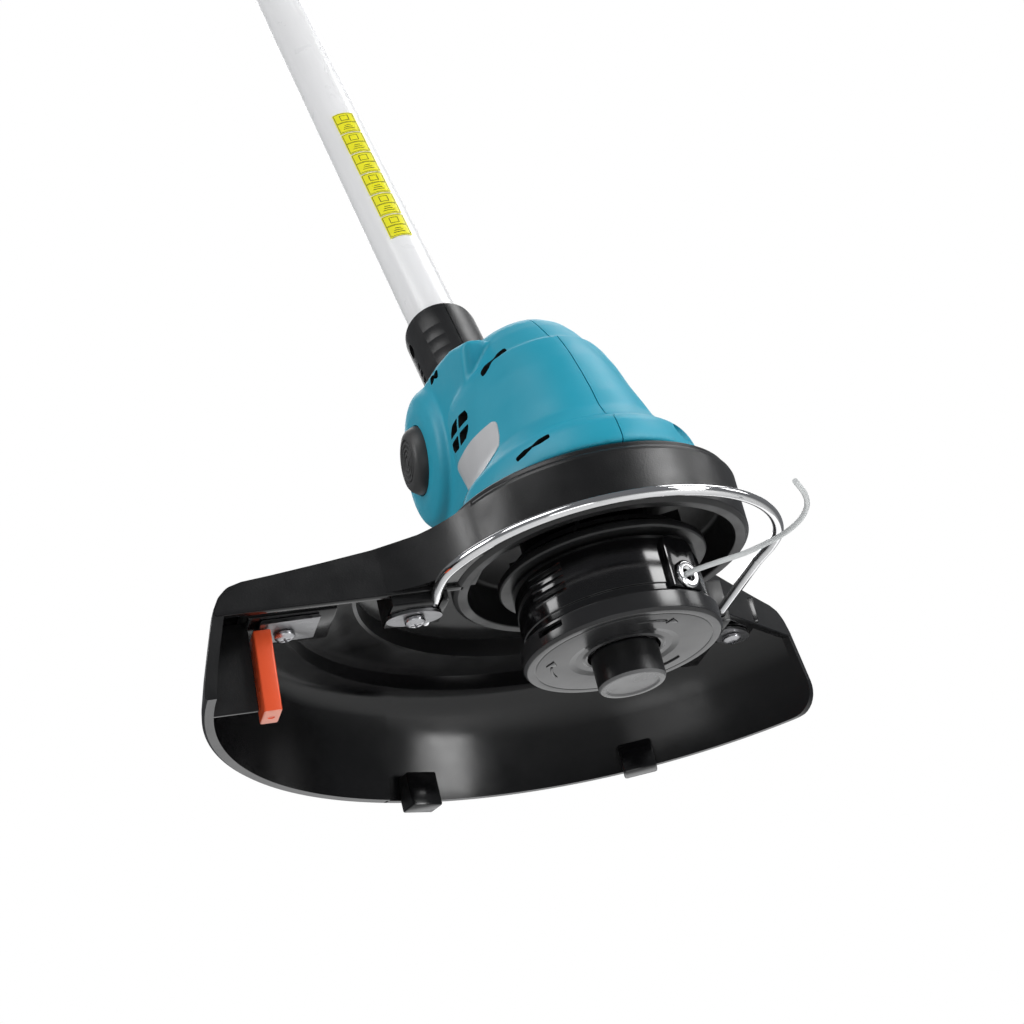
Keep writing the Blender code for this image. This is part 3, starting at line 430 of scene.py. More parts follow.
def plastic(name, colour, rough, grain=1500.0, relief=0.25, spread_by=0.1, patch=0.07, coat=0.0):
    """Moulded plastic: fine spark-eroded grain, with slow changes of tone and gloss."""
    n = Nodes(name)
    slow = n.noise(22.0, 4.0)
    tone = n.colours(slow, (0.25, shade(colour, 1 - spread_by)), (0.55, colour),
                     (0.8, shade(colour, 1 + spread_by)))
    n.link(tone, n.shader.inputs["Base Color"])
    n.link(n.ramp(n.noise(85.0, 5.0), 0.3, 0.7, rough - patch, rough + patch),
           n.shader.inputs["Roughness"])
    fine = n.bump(n.noise(grain, 2.0), relief, 0.00012)
    wave = n.bump(n.noise(38.0, 1.0), 0.12, 0.0006, fine)
    n.link(wave, n.shader.inputs["Normal"])
    n.shader.inputs["Coat Weight"].default_value = coat
    n.shader.inputs["Coat Roughness"].default_value = 0.12
    return n.material


def metal(name, colour, rough, fine, relief, stretch=(1.0, 1.0, 1.0), metallic=1.0):
    """Bright metal with drawn or rolled lines and small smudges in its gloss."""
    n = Nodes(name)
    lines = n.noise(fine, 4.0, stretch)
    n.link(n.colours(n.noise(30.0, 3.0), (0.3, shade(colour, 0.92)), (0.7, colour)),
           n.shader.inputs["Base Color"])
    n.link(n.ramp(lines, 0.3, 0.7, rough * 0.75, rough * 1.35), n.shader.inputs["Roughness"])
    n.link(n.bump(lines, relief, 0.00005), n.shader.inputs["Normal"])
    n.shader.inputs["Metallic"].default_value = metallic
    return n.material


TEAL = plastic("teal_plastic", (0.016, 0.37, 0.52), 0.45, grain=1300.0, relief=0.22, spread_by=0.05)
BLACK = plastic("satin_black", (0.008, 0.008, 0.0085), 0.36, grain=1700.0, relief=0.3)
SMOOTH = plastic("polished_black", (0.004, 0.004, 0.0045), 0.2, grain=700.0, relief=0.05, patch=0.04)
GLOSS = plastic("gloss_black", (0.005, 0.005, 0.0055), 0.12, grain=500.0, relief=0.04, patch=0.04,
                coat=0.3)
DARK = plastic("vent_shadow", (0.003, 0.003, 0.003), 0.8, grain=400.0)
RUBBER = plastic("soft_rubber", (0.022, 0.022, 0.023), 0.7, grain=900.0, relief=0.6)
COVER = plastic("cover_black", (0.020, 0.020, 0.021), 0.2, grain=1200.0, relief=0.1, patch=0.04)
ORANGE = plastic("orange_plastic", (0.95, 0.115, 0.035), 0.34, grain=900.0, relief=0.12)
# Paler orange for the blade cover's down-facing end: a painted sheen of the light on that face.
ORANGE_PAINTED_SHEEN = plastic("orange_painted_sheen", (0.95, 0.38, 0.28), 0.5, grain=900.0, relief=0.12)
YELLOW = plastic("yellow_film", (0.95, 0.9, 0.02), 0.33, grain=300.0, relief=0.03, spread_by=0.03)
INK = plastic("black_ink", (0.02, 0.02, 0.02), 0.4, grain=300.0, relief=0.03)
PLATE = metal("plate_grey", (0.74, 0.74, 0.75), 0.4, 160.0, 0.05, (1.0, 14.0, 1.0), 0.35)
CHROME = metal("chrome_wire", (0.86, 0.86, 0.87), 0.07, 260.0, 0.03)
ZINC = metal("zinc_screw", (0.55, 0.55, 0.57), 0.25, 500.0, 0.1)
SHEET = metal("rolled_sheet", (0.34, 0.34, 0.35), 0.34, 300.0, 0.08, (1.0, 8.0, 1.0))
SILVER = plastic("silver_paint", (0.94, 0.94, 0.945), 0.3, grain=2200.0, relief=0.03, spread_by=0.02,
                 patch=0.04, coat=0.3)
NYLON = plastic("clear_nylon", (0.72, 0.74, 0.74), 0.3, grain=700.0, relief=0.1)
COPPER = metal("copper_winding", (0.7, 0.33, 0.18), 0.35, 500.0, 0.5, (1.0, 1.0, 12.0))
# Light grey for the knob's down-facing faces: a painted reflection of the light below.
KNOB_REFLECTION_GREY = plastic("knob_painted_reflection", (0.13, 0.13, 0.132), 0.24, grain=1000.0, relief=0.2)
KEYPAD = plastic("grey_rubber", (0.05, 0.05, 0.05), 0.48, grain=900.0, relief=0.3)
GREY = plastic("grey_moulding", (0.35, 0.35, 0.36), 0.5)


# ------------------------------------------------------------------ motor housing

# Sections: height, front, back, half width and the power of the rounded outline
HOUSING = (
    (71.3, -54.0, 53.0, 45.5, 1.9), (76.5, -53.2, 52.6, 45.0, 1.9), (81.6, -51.6, 52.0, 44.0, 1.9),
    (83.6, -50.0, 51.6, 42.6, 1.95), (85.5, -46.8, 51.0, 40.3, 2.0), (88.0, -42.4, 50.5, 37.6, 2.15),
    (94.0, -38.3, 50.5, 34.8, 2.2), (102.0, -35.3, 52.0, 33.9, 2.2), (112.0, -30.6, 54.0, 33.4, 2.15),
    (123.0, -24.8, 56.0, 32.7, 2.1), (132.0, -19.0, 57.0, 31.4, 2.05), (136.4, -15.8, 57.2, 30.4, 2.0),
    (136.8, -13.8, 57.2, 29.4, 2.0), (141.0, -10.2, 57.5, 28.4, 2.0), (147.0, -5.0, 57.5, 26.8, 2.0),
    (152.5, 0.5, 57.0, 24.4, 2.0), (156.3, 6.0, 55.0, 20.2, 2.0), (158.6, 13.0, 50.0, 13.4, 2.0),
    (159.2, 22.0, 42.0, 5.0, 2.0))


def housing_ring(z, front, back, half, power):
    """Section whose widest line moves back, and whose back turns squarer, above the flange."""
    rise = min(1.0, max(0.0, (z - 88.0) / 24.0))
    middle = front + (back - front) * (0.5 + 0.18 * rise)
    points = []
    for i in range(120):
        a = 2 * pi * (i + 0.5) / 120
        c, s = cos(a), sin(a)
        bend = 2 / (power + (2.6 - power) * rise if s > 0 else power)
        depth = back - middle if s > 0 else middle - front
        points.append((half * copysign(abs(c) ** bend, c), middle + depth * copysign(abs(s) ** bend, s),
                       z))
    return points


def housing_skin():
    rings = [housing_ring(*section) for section in HOUSING]
    bodies = [grid_mesh(rings)]
    end = arc(PIVOT.y, PIVOT.z, 28.4, -95, 200, 30)
    near = [(47.0, 162.4), (24.0, 155.6), (6.0, 149.6), (15.0, 130.0)]
    far = [(56.0, 161.5), (40.0, 152.0), (30.0, 138.0), (30.0, 120.0)]
    disc = spread([(0, 0), (29.8, 0), (29.8, 6.0), (27.0, 12.0), (19.0, 13.6), (0, 13.6)],
                  (0, 0, 5, 9, 9, 0), closed=False, steps=8)
    for way in (-1, 1):
        low, high = sorted((way * 18.2, way * 28.6))
        corner = near if way < 0 else far
        bodies.append(prism([(38, 98)] + end + corner, low, high, "YZ", edge=3.0, steps=3))
        bodies.append(turned(disc, 96, False, on_side(way * 20.0, PIVOT.y, PIVOT.z, way)))
    return melted(bodies, 0.95, 7)


def vent_leaf(corners, way):
    """One of the four openings of a side vent, turned with the vent."""
    c, s = cos(radians(8.0)), sin(radians(8.0))
    y, z = VENT_CENTRE
    placed = [(y + u * c - v * s, z + u * s + v * c) for u, v in corners]
    low, high = sorted((way * 28.6, way * 44.0))
    mesh = prism(spread(placed, 0.9), low, high, "YZ")
    mesh.materials.append(DARK)
    return mesh


def hourglass(length, width, place):
    """Slot pinched at its middle, along X of its frame, 5 mm deep along its Z."""
    half, w = length / 2, width / 2
    outline = [(-half, -w), (-half * 0.45, -w * 0.95), (0, -w * 0.38), (half * 0.45, -w * 0.95),
               (half, -w), (half, w * 0.7), (half * 0.45, w * 0.95), (0, w * 0.38),
               (-half * 0.45, w * 0.95), (-half, w * 0.7)]
    mesh = prism(spread(outline, width * 0.3), -5.0, 4.0, place=place)
    mesh.materials.append(DARK)
    return mesh


def surface_frame(tree, start, way, along):
    """Frame where a ray meets the skin: Z out of it, X along the given direction."""
    hit, normal, _, _ = tree.ray_cast(Vector(start), Vector(way))
    x = Vector(along)
    x = (x - normal * x.dot(normal)).normalized()
    made = Matrix((x, normal.cross(x), normal)).transposed().to_4x4()
    made.translation = hit
    return made


def make_housing():
    """Both halves of the housing; returns the uncut skin for what lies on it."""
    skin = housing_skin()
    bm = bmesh.new()
    bm.from_mesh(skin)
    tree = BVHTree.FromBMesh(bm)
    bm.free()
    cutters = []
    quarter = [(1.0, 0.9), (12.0, 0.9), (11.4, 3.4), (8.6, 5.6), (1.0, 6.2)]
    for way in (-1, 1):
        cutters.append(turned([(0, 0), (BUTTON_R + 0.5, 0), (BUTTON_R + 0.5, 20), (0, 20)], 64, False,
                              on_side(way * 26.2, PIVOT.y, PIVOT.z, way)))
        for u, v in ((-1, -1), (-1, 1), (1, -1), (1, 1)):
            cutters.append(vent_leaf([(u * a, v * b) for a, b in quarter], way))
    slots = (((-44, -20, 158.5), (0.6, 0.5, -0.6), (11.5, -5.3, 3.8), 13.5, 5.6),
             ((-49, -59, 87.5), (0.69, 0.68, -0.26), (12.1, -10.4, 4.0), 15.0, 2.6),
             ((-45, 50, 175), (0.7, 0.0, -0.7), (0.1, -0.97, -0.2), 12.0, 3.4))
    for start, way, along, length, width in slots:
        cutters.append(hourglass(length, width, surface_frame(tree, start, way, along)))
    for y, z in ((-38.0, 79.0), (26.0, 141.0)):
        cutters.append(rod(3.9, 0, 80, on_side(7.7, y, z, 1), 40))
    skin.materials.append(TEAL)
    skin = boolean(skin, merged_with_materials(cutters))
    steps = ((60.0, 0.0), (83.2, 0.0), (83.2, 0.7), (136.6, 0.7), (136.6, -1.2), (175.0, -1.2))
    for way, side in ((-1, "left"), (1, "right")):
        edge = [(x + way * 0.22, z) for z, x in steps]
        outline = edge + [(way * 80, 175.0), (way * 80, 60.0)]
        half = prism(outline, -90, 140, "XZ")
        half.materials.append(TEAL)
        half_skin = boolean(skin.copy(), half, "INTERSECT")
        piece("housing_shell_" + side, half_skin, TEAL, "head", ["housing_" + side],
              sharp=50.0)
    return tree


def merged_with_materials(meshes):
    """One mesh of many, each keeping its own material."""
    palette = []
    bm = bmesh.new()
    for mesh in meshes:
        material = mesh.materials[0] if mesh.materials else None
        if material not in palette:
            palette.append(material)
        before = len(bm.faces)
        bm.from_mesh(mesh)
        bm.faces.ensure_lookup_table()
        for face in bm.faces[before:]:
            face.material_index = palette.index(material)
    made = bpy.data.meshes.new("shape")
    bm.to_mesh(made)
    bm.free()
    for material in palette:
        made.materials.append(material or TEAL)
    return made


def make_plate(tree):
    """Blank rating plate, pressed to the housing's side."""
    corners = [(39.0, 111.0), (12.0, 109.5), (-9.5, 107.0), (-13.0, 98.0), (-13.5, 92.0),
               (-2.0, 84.5), (14.0, 80.0), (36.0, 79.0), (39.5, 90.0)]
    outline = spread(corners, (1.5, 30, 6, 8, 8, 14, 14, 3, 8), steps=6)
    bm = bmesh.new()
    face = bm.faces.new([bm.verts.new((0, y, z)) for y, z in outline])
    bmesh.ops.triangulate(bm, faces=[face])
    for _ in range(4):
        long_edges = [e for e in bm.edges if e.calc_length() > 2.5]
        bmesh.ops.subdivide_edges(bm, edges=long_edges, cuts=1)
        bmesh.ops.triangulate(bm, faces=bm.faces[:])
    for v in bm.verts:
        hit = tree.ray_cast(Vector((-80, v.co.y, v.co.z)), Vector((1, 0, 0)))
        v.co = hit[0] + hit[1] * 0.28
    made = bmesh.ops.extrude_face_region(bm, geom=bm.faces[:])
    for v in [g for g in made["geom"] if isinstance(g, bmesh.types.BMVert)]:
        v.co.x += 0.9
    piece("rating_plate", to_mesh(bm), PLATE, "head", sharp=60)


# ------------------------------------------------------------------ button and pivot cap

def make_buttons():
    rings = [(0, 7.3)]
    for i in range(4):
        r = 2.2 + i * 2.1
        rings += [(r - 0.6, 7.3), (r - 0.35, 6.7), (r + 0.35, 6.7), (r + 0.6, 7.3)]
    rings += [(10.2, 7.25), (11.5, 6.8), (12.6, 5.9), (13.3, 4.6), (BUTTON_R, 3.2), (BUTTON_R, 0),
              (0, 0)]
    piece("tilt_button_ringed", turned(rings, 96, False, on_side(-31.2, PIVOT.y, PIVOT.z, -1)), KEYPAD,
          "tilt_button", ["tilt_button"], sharp=30)
    cap = [(0, 6.0), (7.4, 6.0), (8.0, 6.6), (10.6, 6.9), (12.4, 6.3), (13.3, 5.0), (BUTTON_R, 3.6),
           (BUTTON_R, 0), (0, 0)]
    piece("pivot_cap_dished", turned(cap, 96, False, on_side(26.4, PIVOT.y, PIVOT.z, 1)), BLACK, "head",
          ["pivot_cap"], sharp=30)


# ------------------------------------------------------------------ guard

def deck_profile(extra=0.0):
    """Section of the deck and rim; extra thickens the rim's inner face."""
    under = [(RIM_R, 16.4), (RIM_R - 0.9, 15.6), (149.9 - extra, 15.6), (149.3 - extra, 19.0),
             (147.3 - extra, 27.5), (144.4 - extra, 37.5), (141.2 - 0.9 * extra, 47.6),
             (138.8 - 0.6 * extra, 51.0), (135.5, 53.6), (131.5, 55.0)]
    for radius, low, roof in ((119.0, 50.4, 56.2), (91.2, 52.5, 59.6)):
        under += [(radius + 0.9, roof), (radius + 0.7, low), (radius - 0.7, low),
                  (radius - 0.9, roof + 0.2)]
    under += [(74.0, 63.0), (64.0, 65.4), (53.0, 67.0)]
    top = spread(DECK_TOP, [0] + [6] * 11 + [0], closed=False, steps=3)
    return top + under


def sector(profile, start, end, steps):
    rings = []
    for i in range(steps + 1):
        a = radians(start + (end - start) * i / steps)
        rings.append([(r * cos(a), r * sin(a), z) for r, z in profile])
    return grid_mesh(rings)


def end_wall(angle, near, far):
    top = [(r - 0.35, z - 0.9) for r, z in DECK_TOP[:10]]
    outline = spread(top + [(144.0, 46.0), (53.0, 46.0)], [0] * 8 + [3, 3, 1.5, 0], steps=3)
    return prism(outline, near, far, "XZ", turn_z(angle), edge=0.5)


def shoulder():
    """Concave web from the collar out to the guard's left end."""
    fillet = arc(-85.8, -38.3, 38.2, 23.0, 67.0, 30)
    outline = [(-48.0, 2.0), (-48.0, -20.0)] + fillet + [(-85.8, 2.0)]
    low = [(x, y, 47.2) for x, y in outline]
    high = [(x, y, 67.7 + 0.125 * (x + 55.0)) for x, y in outline]
    return grid_mesh([low, high])


def guard_body():
    """Collar, deck, rim and everything moulded to them, as one mesh."""
    collar = spread([(52.9, 71.0), (53.9, 70.2), (54.3, 68.6), (55.4, 67.6), (55.8, 66.4), (55.8, 47.2),
                     (54.0, 46.0), (50.2, 46.0), (50.2, 62.4), (9.0, 62.4), (9.0, 65.0), (46.5, 65.0),
                     (46.5, 71.0)], (0.5, 0.5, 0.4, 0.6, 0.8, 1, 0.6, 0.6, 2, 0, 0, 1, 0.6), steps=3)
    adds = [sector(deck_profile(1.0), STEP_ANGLE, GUARD_END, 56),
            sector(deck_profile(), GUARD_START, STEP_ANGLE + 0.4, 60), end_wall(180.0, -3.0, 0.3),
            end_wall(GUARD_START, -0.3, 3.0), shoulder(),
            block((-80, 2, 42.4), (-58.6, 22, 62), 0.8),
            block((59, 52.5, 40.4), (67, 98, 58.3), 0.8),
            block((68, 74, 46.9), (88, 92, 58.0), 0.8),
            block((-131, 8, 46.9), (-98, 34, 57), 0.8)]
    for angle, foot in ((109.3, 10.5), (71.5, 12.5)):
        adds.append(block((141.5, -7, foot), (150.6, 7, 25), 0.9, place=turn_z(angle)))
    web = [(-149.3, 16.1), (-131.4, 16.1), (-129.8, 46.0), (-129.8, 50.0), (-141.0, 50.0)]
    adds.append(prism(web, 17.8, 19.2, "XZ", edge=0.3))
    mesh = turned(collar, 160)
    for more in adds:
        mesh = boolean(mesh, more, "UNION")
    return mesh


def guard_cutters():
    """The rounded corner at the guard's end, and the holes for the wire and the screws."""
    corner = [(-2.0, 11.6), (12.0, 11.6)] + arc(12, 27.6, 12, 270, -90, 10) + [(-2.0, 27.6)]
    cutters = [prism(corner, 125, 165, "YZ", turn_z(GUARD_START))]
    for x, low, high in ((-LEG_X, -14, 26.5), (LEG_X, 45, 96.5)):
        cutters.append(rod(2.4, low, high, Matrix.Translation((x, 0, WIRE_Z))
                           @ Matrix.Rotation(-pi / 2, 4, "X"), 32, 0.1))
    for x, y in (LEFT_RETAINER, RIGHT_RETAINER, CUTTER_SCREW):
        cutters.append(rod(1.9, 40, 55, Matrix.Translation((x, y, 0)), 24, 0.1))
    return cutters


def make_guard():
    mesh = guard_body()
    for cutter in guard_cutters():
        mesh = boolean(mesh, cutter)

    def inside(face):
        under = face.center.xy.length > 57.0 and face.normal.z < -0.05
        return under or face.center.xy.length > 100 and face.normal.xy.dot(face.center.xy) < -20

    two_tone(mesh, BLACK, SMOOTH, inside)
    piece("guard_shell", mesh, BLACK, "head", ["guard"], sharp=32)


# ------------------------------------------------------------------ line head

def make_knob():
    knob = spread([(0, 0.55), (9.4, 0.55), (10.2, 0.0), (11.9, 0.0), (KNOB_R, 1.0), (KNOB_R, 13.0),
                   (11.6, 14.0), (8.5, 14.0), (8.5, 15.9), (0, 15.9)],
                  (0, 0.3, 0.3, 0.7, 0.6, 0.8, 0.8, 0.3, 0.3, 0), closed=False, steps=4)
    knob_mesh = turned(knob, 96, False)
    # The down-facing faces get the light grey painted reflection.
    two_tone(knob_mesh, BLACK, KNOB_REFLECTION_GREY, lambda face: face.normal.z < -0.3)
    piece("bump_knob_turned", knob_mesh, BLACK, "bump", ["bump_knob"], sharp=30)


def make_cover():
    """Spool cover with a raised ring, two notches and three plain turn arrows."""
    face = [(35.9, 12.8), (33.2, 12.8), (32.9, 13.0), (32.6, 12.8), (20.5, 12.85), (18.0, 13.3),
            (15.6, 13.3), (14.6, 12.8), (13.6, 13.0)]
    cover = face[::-1] + [(COVER_R, 13.9), (COVER_R, 20.2), (36.4, 21.0), (34.9, 21.0), (34.9, 15.2),
                          (16.5, 15.2), (13.6, 15.2)]
    ring = turned(spread(cover, [0.2] * 8 + [0.5, 0.6, 0.4, 0.4, 0.2, 0.3, 0, 0], steps=3), 160)
    for side in (0, 180):
        notch = block((30, -6, 17), (40, 6, 19.4), 0.4, place=turn_z(EYELET_ANGLE + 90 + side))
        ring = boolean(ring, notch)
    piece("spool_cover_turned", ring, COVER, "spool", ["spool_cover"], sharp=30)
    for number, angle in enumerate((25.0, 145.0, 265.0)):
        bow = [(27.0 * cos(radians(a)), 27.0 * sin(radians(a)), 12.75)
               for a in range(int(angle), int(angle) + 27, 3)]
        head = [(u * cos(radians(angle + 33)) - v * sin(radians(angle + 33)),
                 u * sin(radians(angle + 33)) + v * cos(radians(angle + 33)))
                for u, v in ((25.0, -3.0), (29.0, -3.0), (27.0, 1.2))]
        arrow = merged([tube(bow, 0.45, 8), prism(head, 12.45, 13.0, edge=0.15)])
        piece("turn_arrow_%d" % number, arrow, COVER, "spool")


def make_drum():
    """Drum with a boss round each eyelet and fins beside the front one."""
    drum = spread([(DRUM_R - 0.8, DRUM_TOP), (DRUM_R, DRUM_TOP - 0.8), (DRUM_R, 24.4), (34.1, 24.0),
                   (34.1, 15.6), (32.2, 15.6), (32.2, 40.6), (4.2, 40.6), (4.2, DRUM_TOP)],
                  (0.3, 0.5, 0.2, 0.2, 0.1, 0, 1, 0, 0), steps=3)
    shell = turned(drum, 160)
    for side in (0, 180):
        spin = turn_z(EYELET_ANGLE + side)
        boss = spread([(-7.6, 21.6), (7.6, 21.6), (7.6, DRUM_TOP - 1), (-7.6, DRUM_TOP - 1)],
                      (1, 1, 5, 5))
        shell = boolean(shell, prism(boss, 32.6, 36.2, "YZ", spin, edge=0.6), "UNION")
        bore = spin @ Matrix.Translation((0, 0, EYELET_Z)) @ ACROSS
        shell = boolean(shell, rod(4.3, 26, 40, bore, 40, 0.1))
    spin = turn_z(EYELET_ANGLE - 88)
    for level in range(5):
        low = 29.4 + level * 2.5
        shell = boolean(shell, block((33.2, -8, low), (37.2, 8, low + 1.3), 0.2, 2, spin))
    piece("spool_drum", shell, GLOSS, "spool", ["spool_housing"], sharp=30)


def make_backplate():
    plate = spread([(38.4, 47.6), (39.0, 47.0), (39.0, 44.8), (38.4, 44.2), (2.9, 44.2), (2.9, 49.2),
                    (9.0, 49.2), (9.0, 47.6)], 0.3, steps=2)
    disc = turned(plate, 120)
    for i in range(12):
        spin = Matrix.Rotation(2 * pi * i / 12, 4, "Z")
        disc = boolean(disc, block((11, -0.6, 47.2), (36, 0.6, 49.4), 0.15, 1, spin), "UNION")
    piece("spool_backplate_ribbed", disc, BLACK, "spool", ["spool_backplate"],
          sharp=30)


def make_eyelets():
    for name, side in (("eyelet_front", 0), ("eyelet_rear", 180)):
        profile = spread([(5.4, 0.9), (5.4, 0.0), (3.9, 0.0), (3.9, -5.0), (2.1, -5.0), (2.1, 0.2),
                          (2.9, 1.3), (4.6, 1.3)], (0.4, 0, 0, 0.3, 0.3, 0.8, 0.6, 0.4), steps=4)
        out = Vector((cos(radians(EYELET_ANGLE + side)), sin(radians(EYELET_ANGLE + side)), 0))
        place = (Matrix.Translation(out * 36.5 + Vector((0, 0, EYELET_Z)))
                 @ out.to_track_quat("Z", "Y").to_matrix().to_4x4())
        piece(name + "_flared", turned(profile, 64, True, place), CHROME, "spool", [name],
              sharp=35)


def make_line():
    """Free end of the trimmer line, as one open spline."""
    curve = bpy.data.curves.new("trimmer_line_end", "CURVE")
    curve.dimensions = "3D"
    curve.bevel_depth = 1.0 * MM
    curve.bevel_resolution = 5
    curve.use_fill_caps = True
    points = curve_points(LINE_KNOTS, 34)
    spline = curve.splines.new("POLY")
    spline.points.add(len(points) - 1)
    for point, place in zip(spline.points, points):
        point.co = (*(place * MM), 1)
    spline.use_smooth = True
    thing = bpy.data.objects.new("trimmer_line_end", curve)
    SCENE.collection.objects.link(thing)
    curve.materials.append(NYLON)
    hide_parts("trimmer_line")
    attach(thing, "spool")


# ------------------------------------------------------------------ wire guard and fittings

def make_wire():
    front = arc(0, 0, 66.0, 197.0, 146.0, 12)
    left = [(-LEG_X, 24.0), (-LEG_X, 13), (-LEG_X - 0.3, 3), (-64.2, -8)]
    right = [(64.2, -8), (LEG_X + 0.3, 3), (LEG_X, 15), (LEG_X, 94.0)]
    knots = [(x, y, WIRE_Z) for x, y in left + front + right]
    path = curve_points(knots, 190)
    piece("plant_guard_wire", tube(path, 2.0, 28), CHROME, "wire_guard", ["wire_guard"],
          sharp=80)


def pan_screw(name, node, place):
    """Cross-recessed pan head screw; its frame's Z points out of the head, origin at its face."""
    dome = spread([(0, 0), (2.4, 0), (3.9, -1.1), (3.9, -2.4), (1.5, -2.4), (1.5, -11.4),
                   (0, -11.4)], (0, 2.2, 1.0, 0.2, 0, 0.4, 0), closed=False, steps=4)
    mesh = turned(dome, 48, False)
    for angle in (20.0, 110.0):
        mesh = boolean(mesh, block((-2.0, -0.42, -1.3), (2.0, 0.42, 1.0), 0.12, 1, turn_z(angle)))
    piece(name, mesh, ZINC, "head", [node], place=place)


def make_fittings():
    down = Matrix.Rotation(pi, 4, "X")
    for name, node, at, turn, low in (
            ("left_retainer_oval", "left_wire_retainer", LEFT_RETAINER, 0.0, 40.9),
            ("right_retainer_oval", "right_wire_retainer", RIGHT_RETAINER, GUARD_START, 45.2)):
        spin = Matrix.Translation((*at, 0)) @ turn_z(turn)
        mesh = prism(oval(10.5, 6.2, 64), low, low + 1.3, edge=0.35, place=spin)
        mesh = boolean(mesh, rod(2.0, low - 3, low + 5, spin, 32, 0.1))
        piece(name, mesh, SHEET, "head", [node])
    for name, node, at, z in (("left_pan_screw", "left_retainer_screw", LEFT_RETAINER, 38.2),
                              ("right_pan_screw", "right_retainer_screw", RIGHT_RETAINER, 42.5),
                              ("cutter_pan_screw", "cutter_screw", CUTTER_SCREW, 42.4)):
        pan_screw(name, node, Matrix.Translation((*at, z)) @ down)
    make_cutter()


def make_cutter():
    """Line cutter, a bent plate whose blade leans outwards, and the cover pushed over it."""
    x, y = CUTTER_BLADE
    top = BLADE_TOP
    outline = [(x - 0.75, top + 0.6), (x - 0.75 - BLADE_LEAN * 27.0, 19.0),
               (x + 0.75 - BLADE_LEAN * 28.5, 17.5), (x + 0.75, top - 0.9),
               (-104.5, top - 0.9), (-104.5, top + 0.6)]
    plate = prism(spread(outline, (1.4, 0.2, 0, 0.8, 0.3, 0.3), steps=3), y - 9, y + 9, "XZ", edge=0.25)
    for near, far in ((-12, -4.5), (4.5, 12)):
        plate = boolean(plate, block((x - 9, y + near, 10), (x + 5, y + far, top - 1.2), 0))
    plate = boolean(plate, rod(2.0, 40, 50, Matrix.Translation((*CUTTER_SCREW, 0)), 32, 0.1))
    piece("line_cutter_blade", plate, SHEET, "head", ["line_cutter"])
    shell = block((x - 3.3, y - 6.0, 13.2), (x + 3.3, y + 6.0, top - 1.5), 0.7, 3)
    shell = boolean(shell, block((x - 1.15, y - 4.9, 16.9), (x + 1.15, y + 4.9, top + 4), 0.2, 1))
    shell = boolean(shell, rod(1.3, -5, 0.6, Matrix.Translation((x, y, 13.2)), 24, 0.2))
    lean = Matrix.Identity(4)
    lean[0][2] = BLADE_LEAN
    lean[0][3] = -BLADE_LEAN * top
    shell.transform(lean)
    # The down-facing end faces get the paler orange painted sheen.
    two_tone(shell, ORANGE, ORANGE_PAINTED_SHEEN, lambda face: face.normal.z < -0.6 and face.center.z < 15)
    piece("blade_cover_shell", shell, ORANGE, "blade_cover", ["blade_cover"])


# ------------------------------------------------------------------ neck, tubes and label

def half_cut(mesh, way):
    """Keeps the half of the neck on one side of its middle plane, short of it by a seam."""
    start, end = sorted((-way * 60.0, way * 0.18))
    return boolean(mesh, block((start, -60.0, -40), (end, 60.0, 120), 0))


def make_neck():
    sleeve = spread([(0, NECK_END), (13.2, NECK_END), (15.4, 85.0), (15.4, 82.6), (NECK_R, 82.2),
                     (NECK_R, 8.0), (0, 8.0)], (0, 1.2, 1.6, 0.2, 0.3, 0, 0), closed=False, steps=4)
    body = turned(sleeve, 128, False)
    body = boolean(body, rod(17.0, -16.4, 16.4, ACROSS, 96, 0.8), "UNION")
    body = boolean(body, rod(11.4, 44.7, 120, None, 96, 0.1))
    body = boolean(body, rod(4.35, -30, 30, ACROSS, 40, 0.1))
    cutters = []
    for i in range(6):
        s = 34.0 + i * 7.6
        groove = [(15.6, s - 0.3), (15.9, s - 1.0), (17.0, s - 1.0), (17.0, s + 1.0), (15.9, s + 1.0),
                  (15.6, s + 0.3)]
        cutters.append(sector(groove, -140, -108, 16))
    for way in (-1, 1):
        for i in range(8):
            notch = [(-1.6, -1.5), (1.6, -1.5), (0.9, 1.5), (-0.5, 1.5)]
            place = Matrix.Translation((way * NECK_R, 0.5, 30.0 + i * 4.6)) @ ACROSS
            cutters.append(prism(spread(notch, 0.4), -1.1, 1.5, place=place))
        place = Matrix.Translation((way * NECK_R, 0, 73.0)) @ ACROSS
        cutters.append(prism(oval(4.2, 2.0, 28), -2.2, 2.0, place=place))
    body = boolean(body, merged(cutters))
    for way, side in ((-1, "left"), (1, "right")):
        piece("neck_shell_" + side, half_cut(body.copy(), way), BLACK, "neck", ["neck_" + side],
              sharp=32, place=SHAFT)


def make_tubes():
    for name, node, body, outer, inner, start, end in (
            ("lower_tube_drawn", "lower_tube", "lower_shaft", LOWER_TUBE_R, 9.7, 45.0, 700.0),
            ("sleeve_tube_drawn", "upper_tube", "handle", UPPER_TUBE_R, 11.6, 475.0, 905.0)):
        profile = spread([(outer, end), (outer, start), (inner, start), (inner, end)], 0.35, steps=3)
        piece(name, turned(profile, 112, True), SILVER, body, [node], sharp=40,
              place=SHAFT)


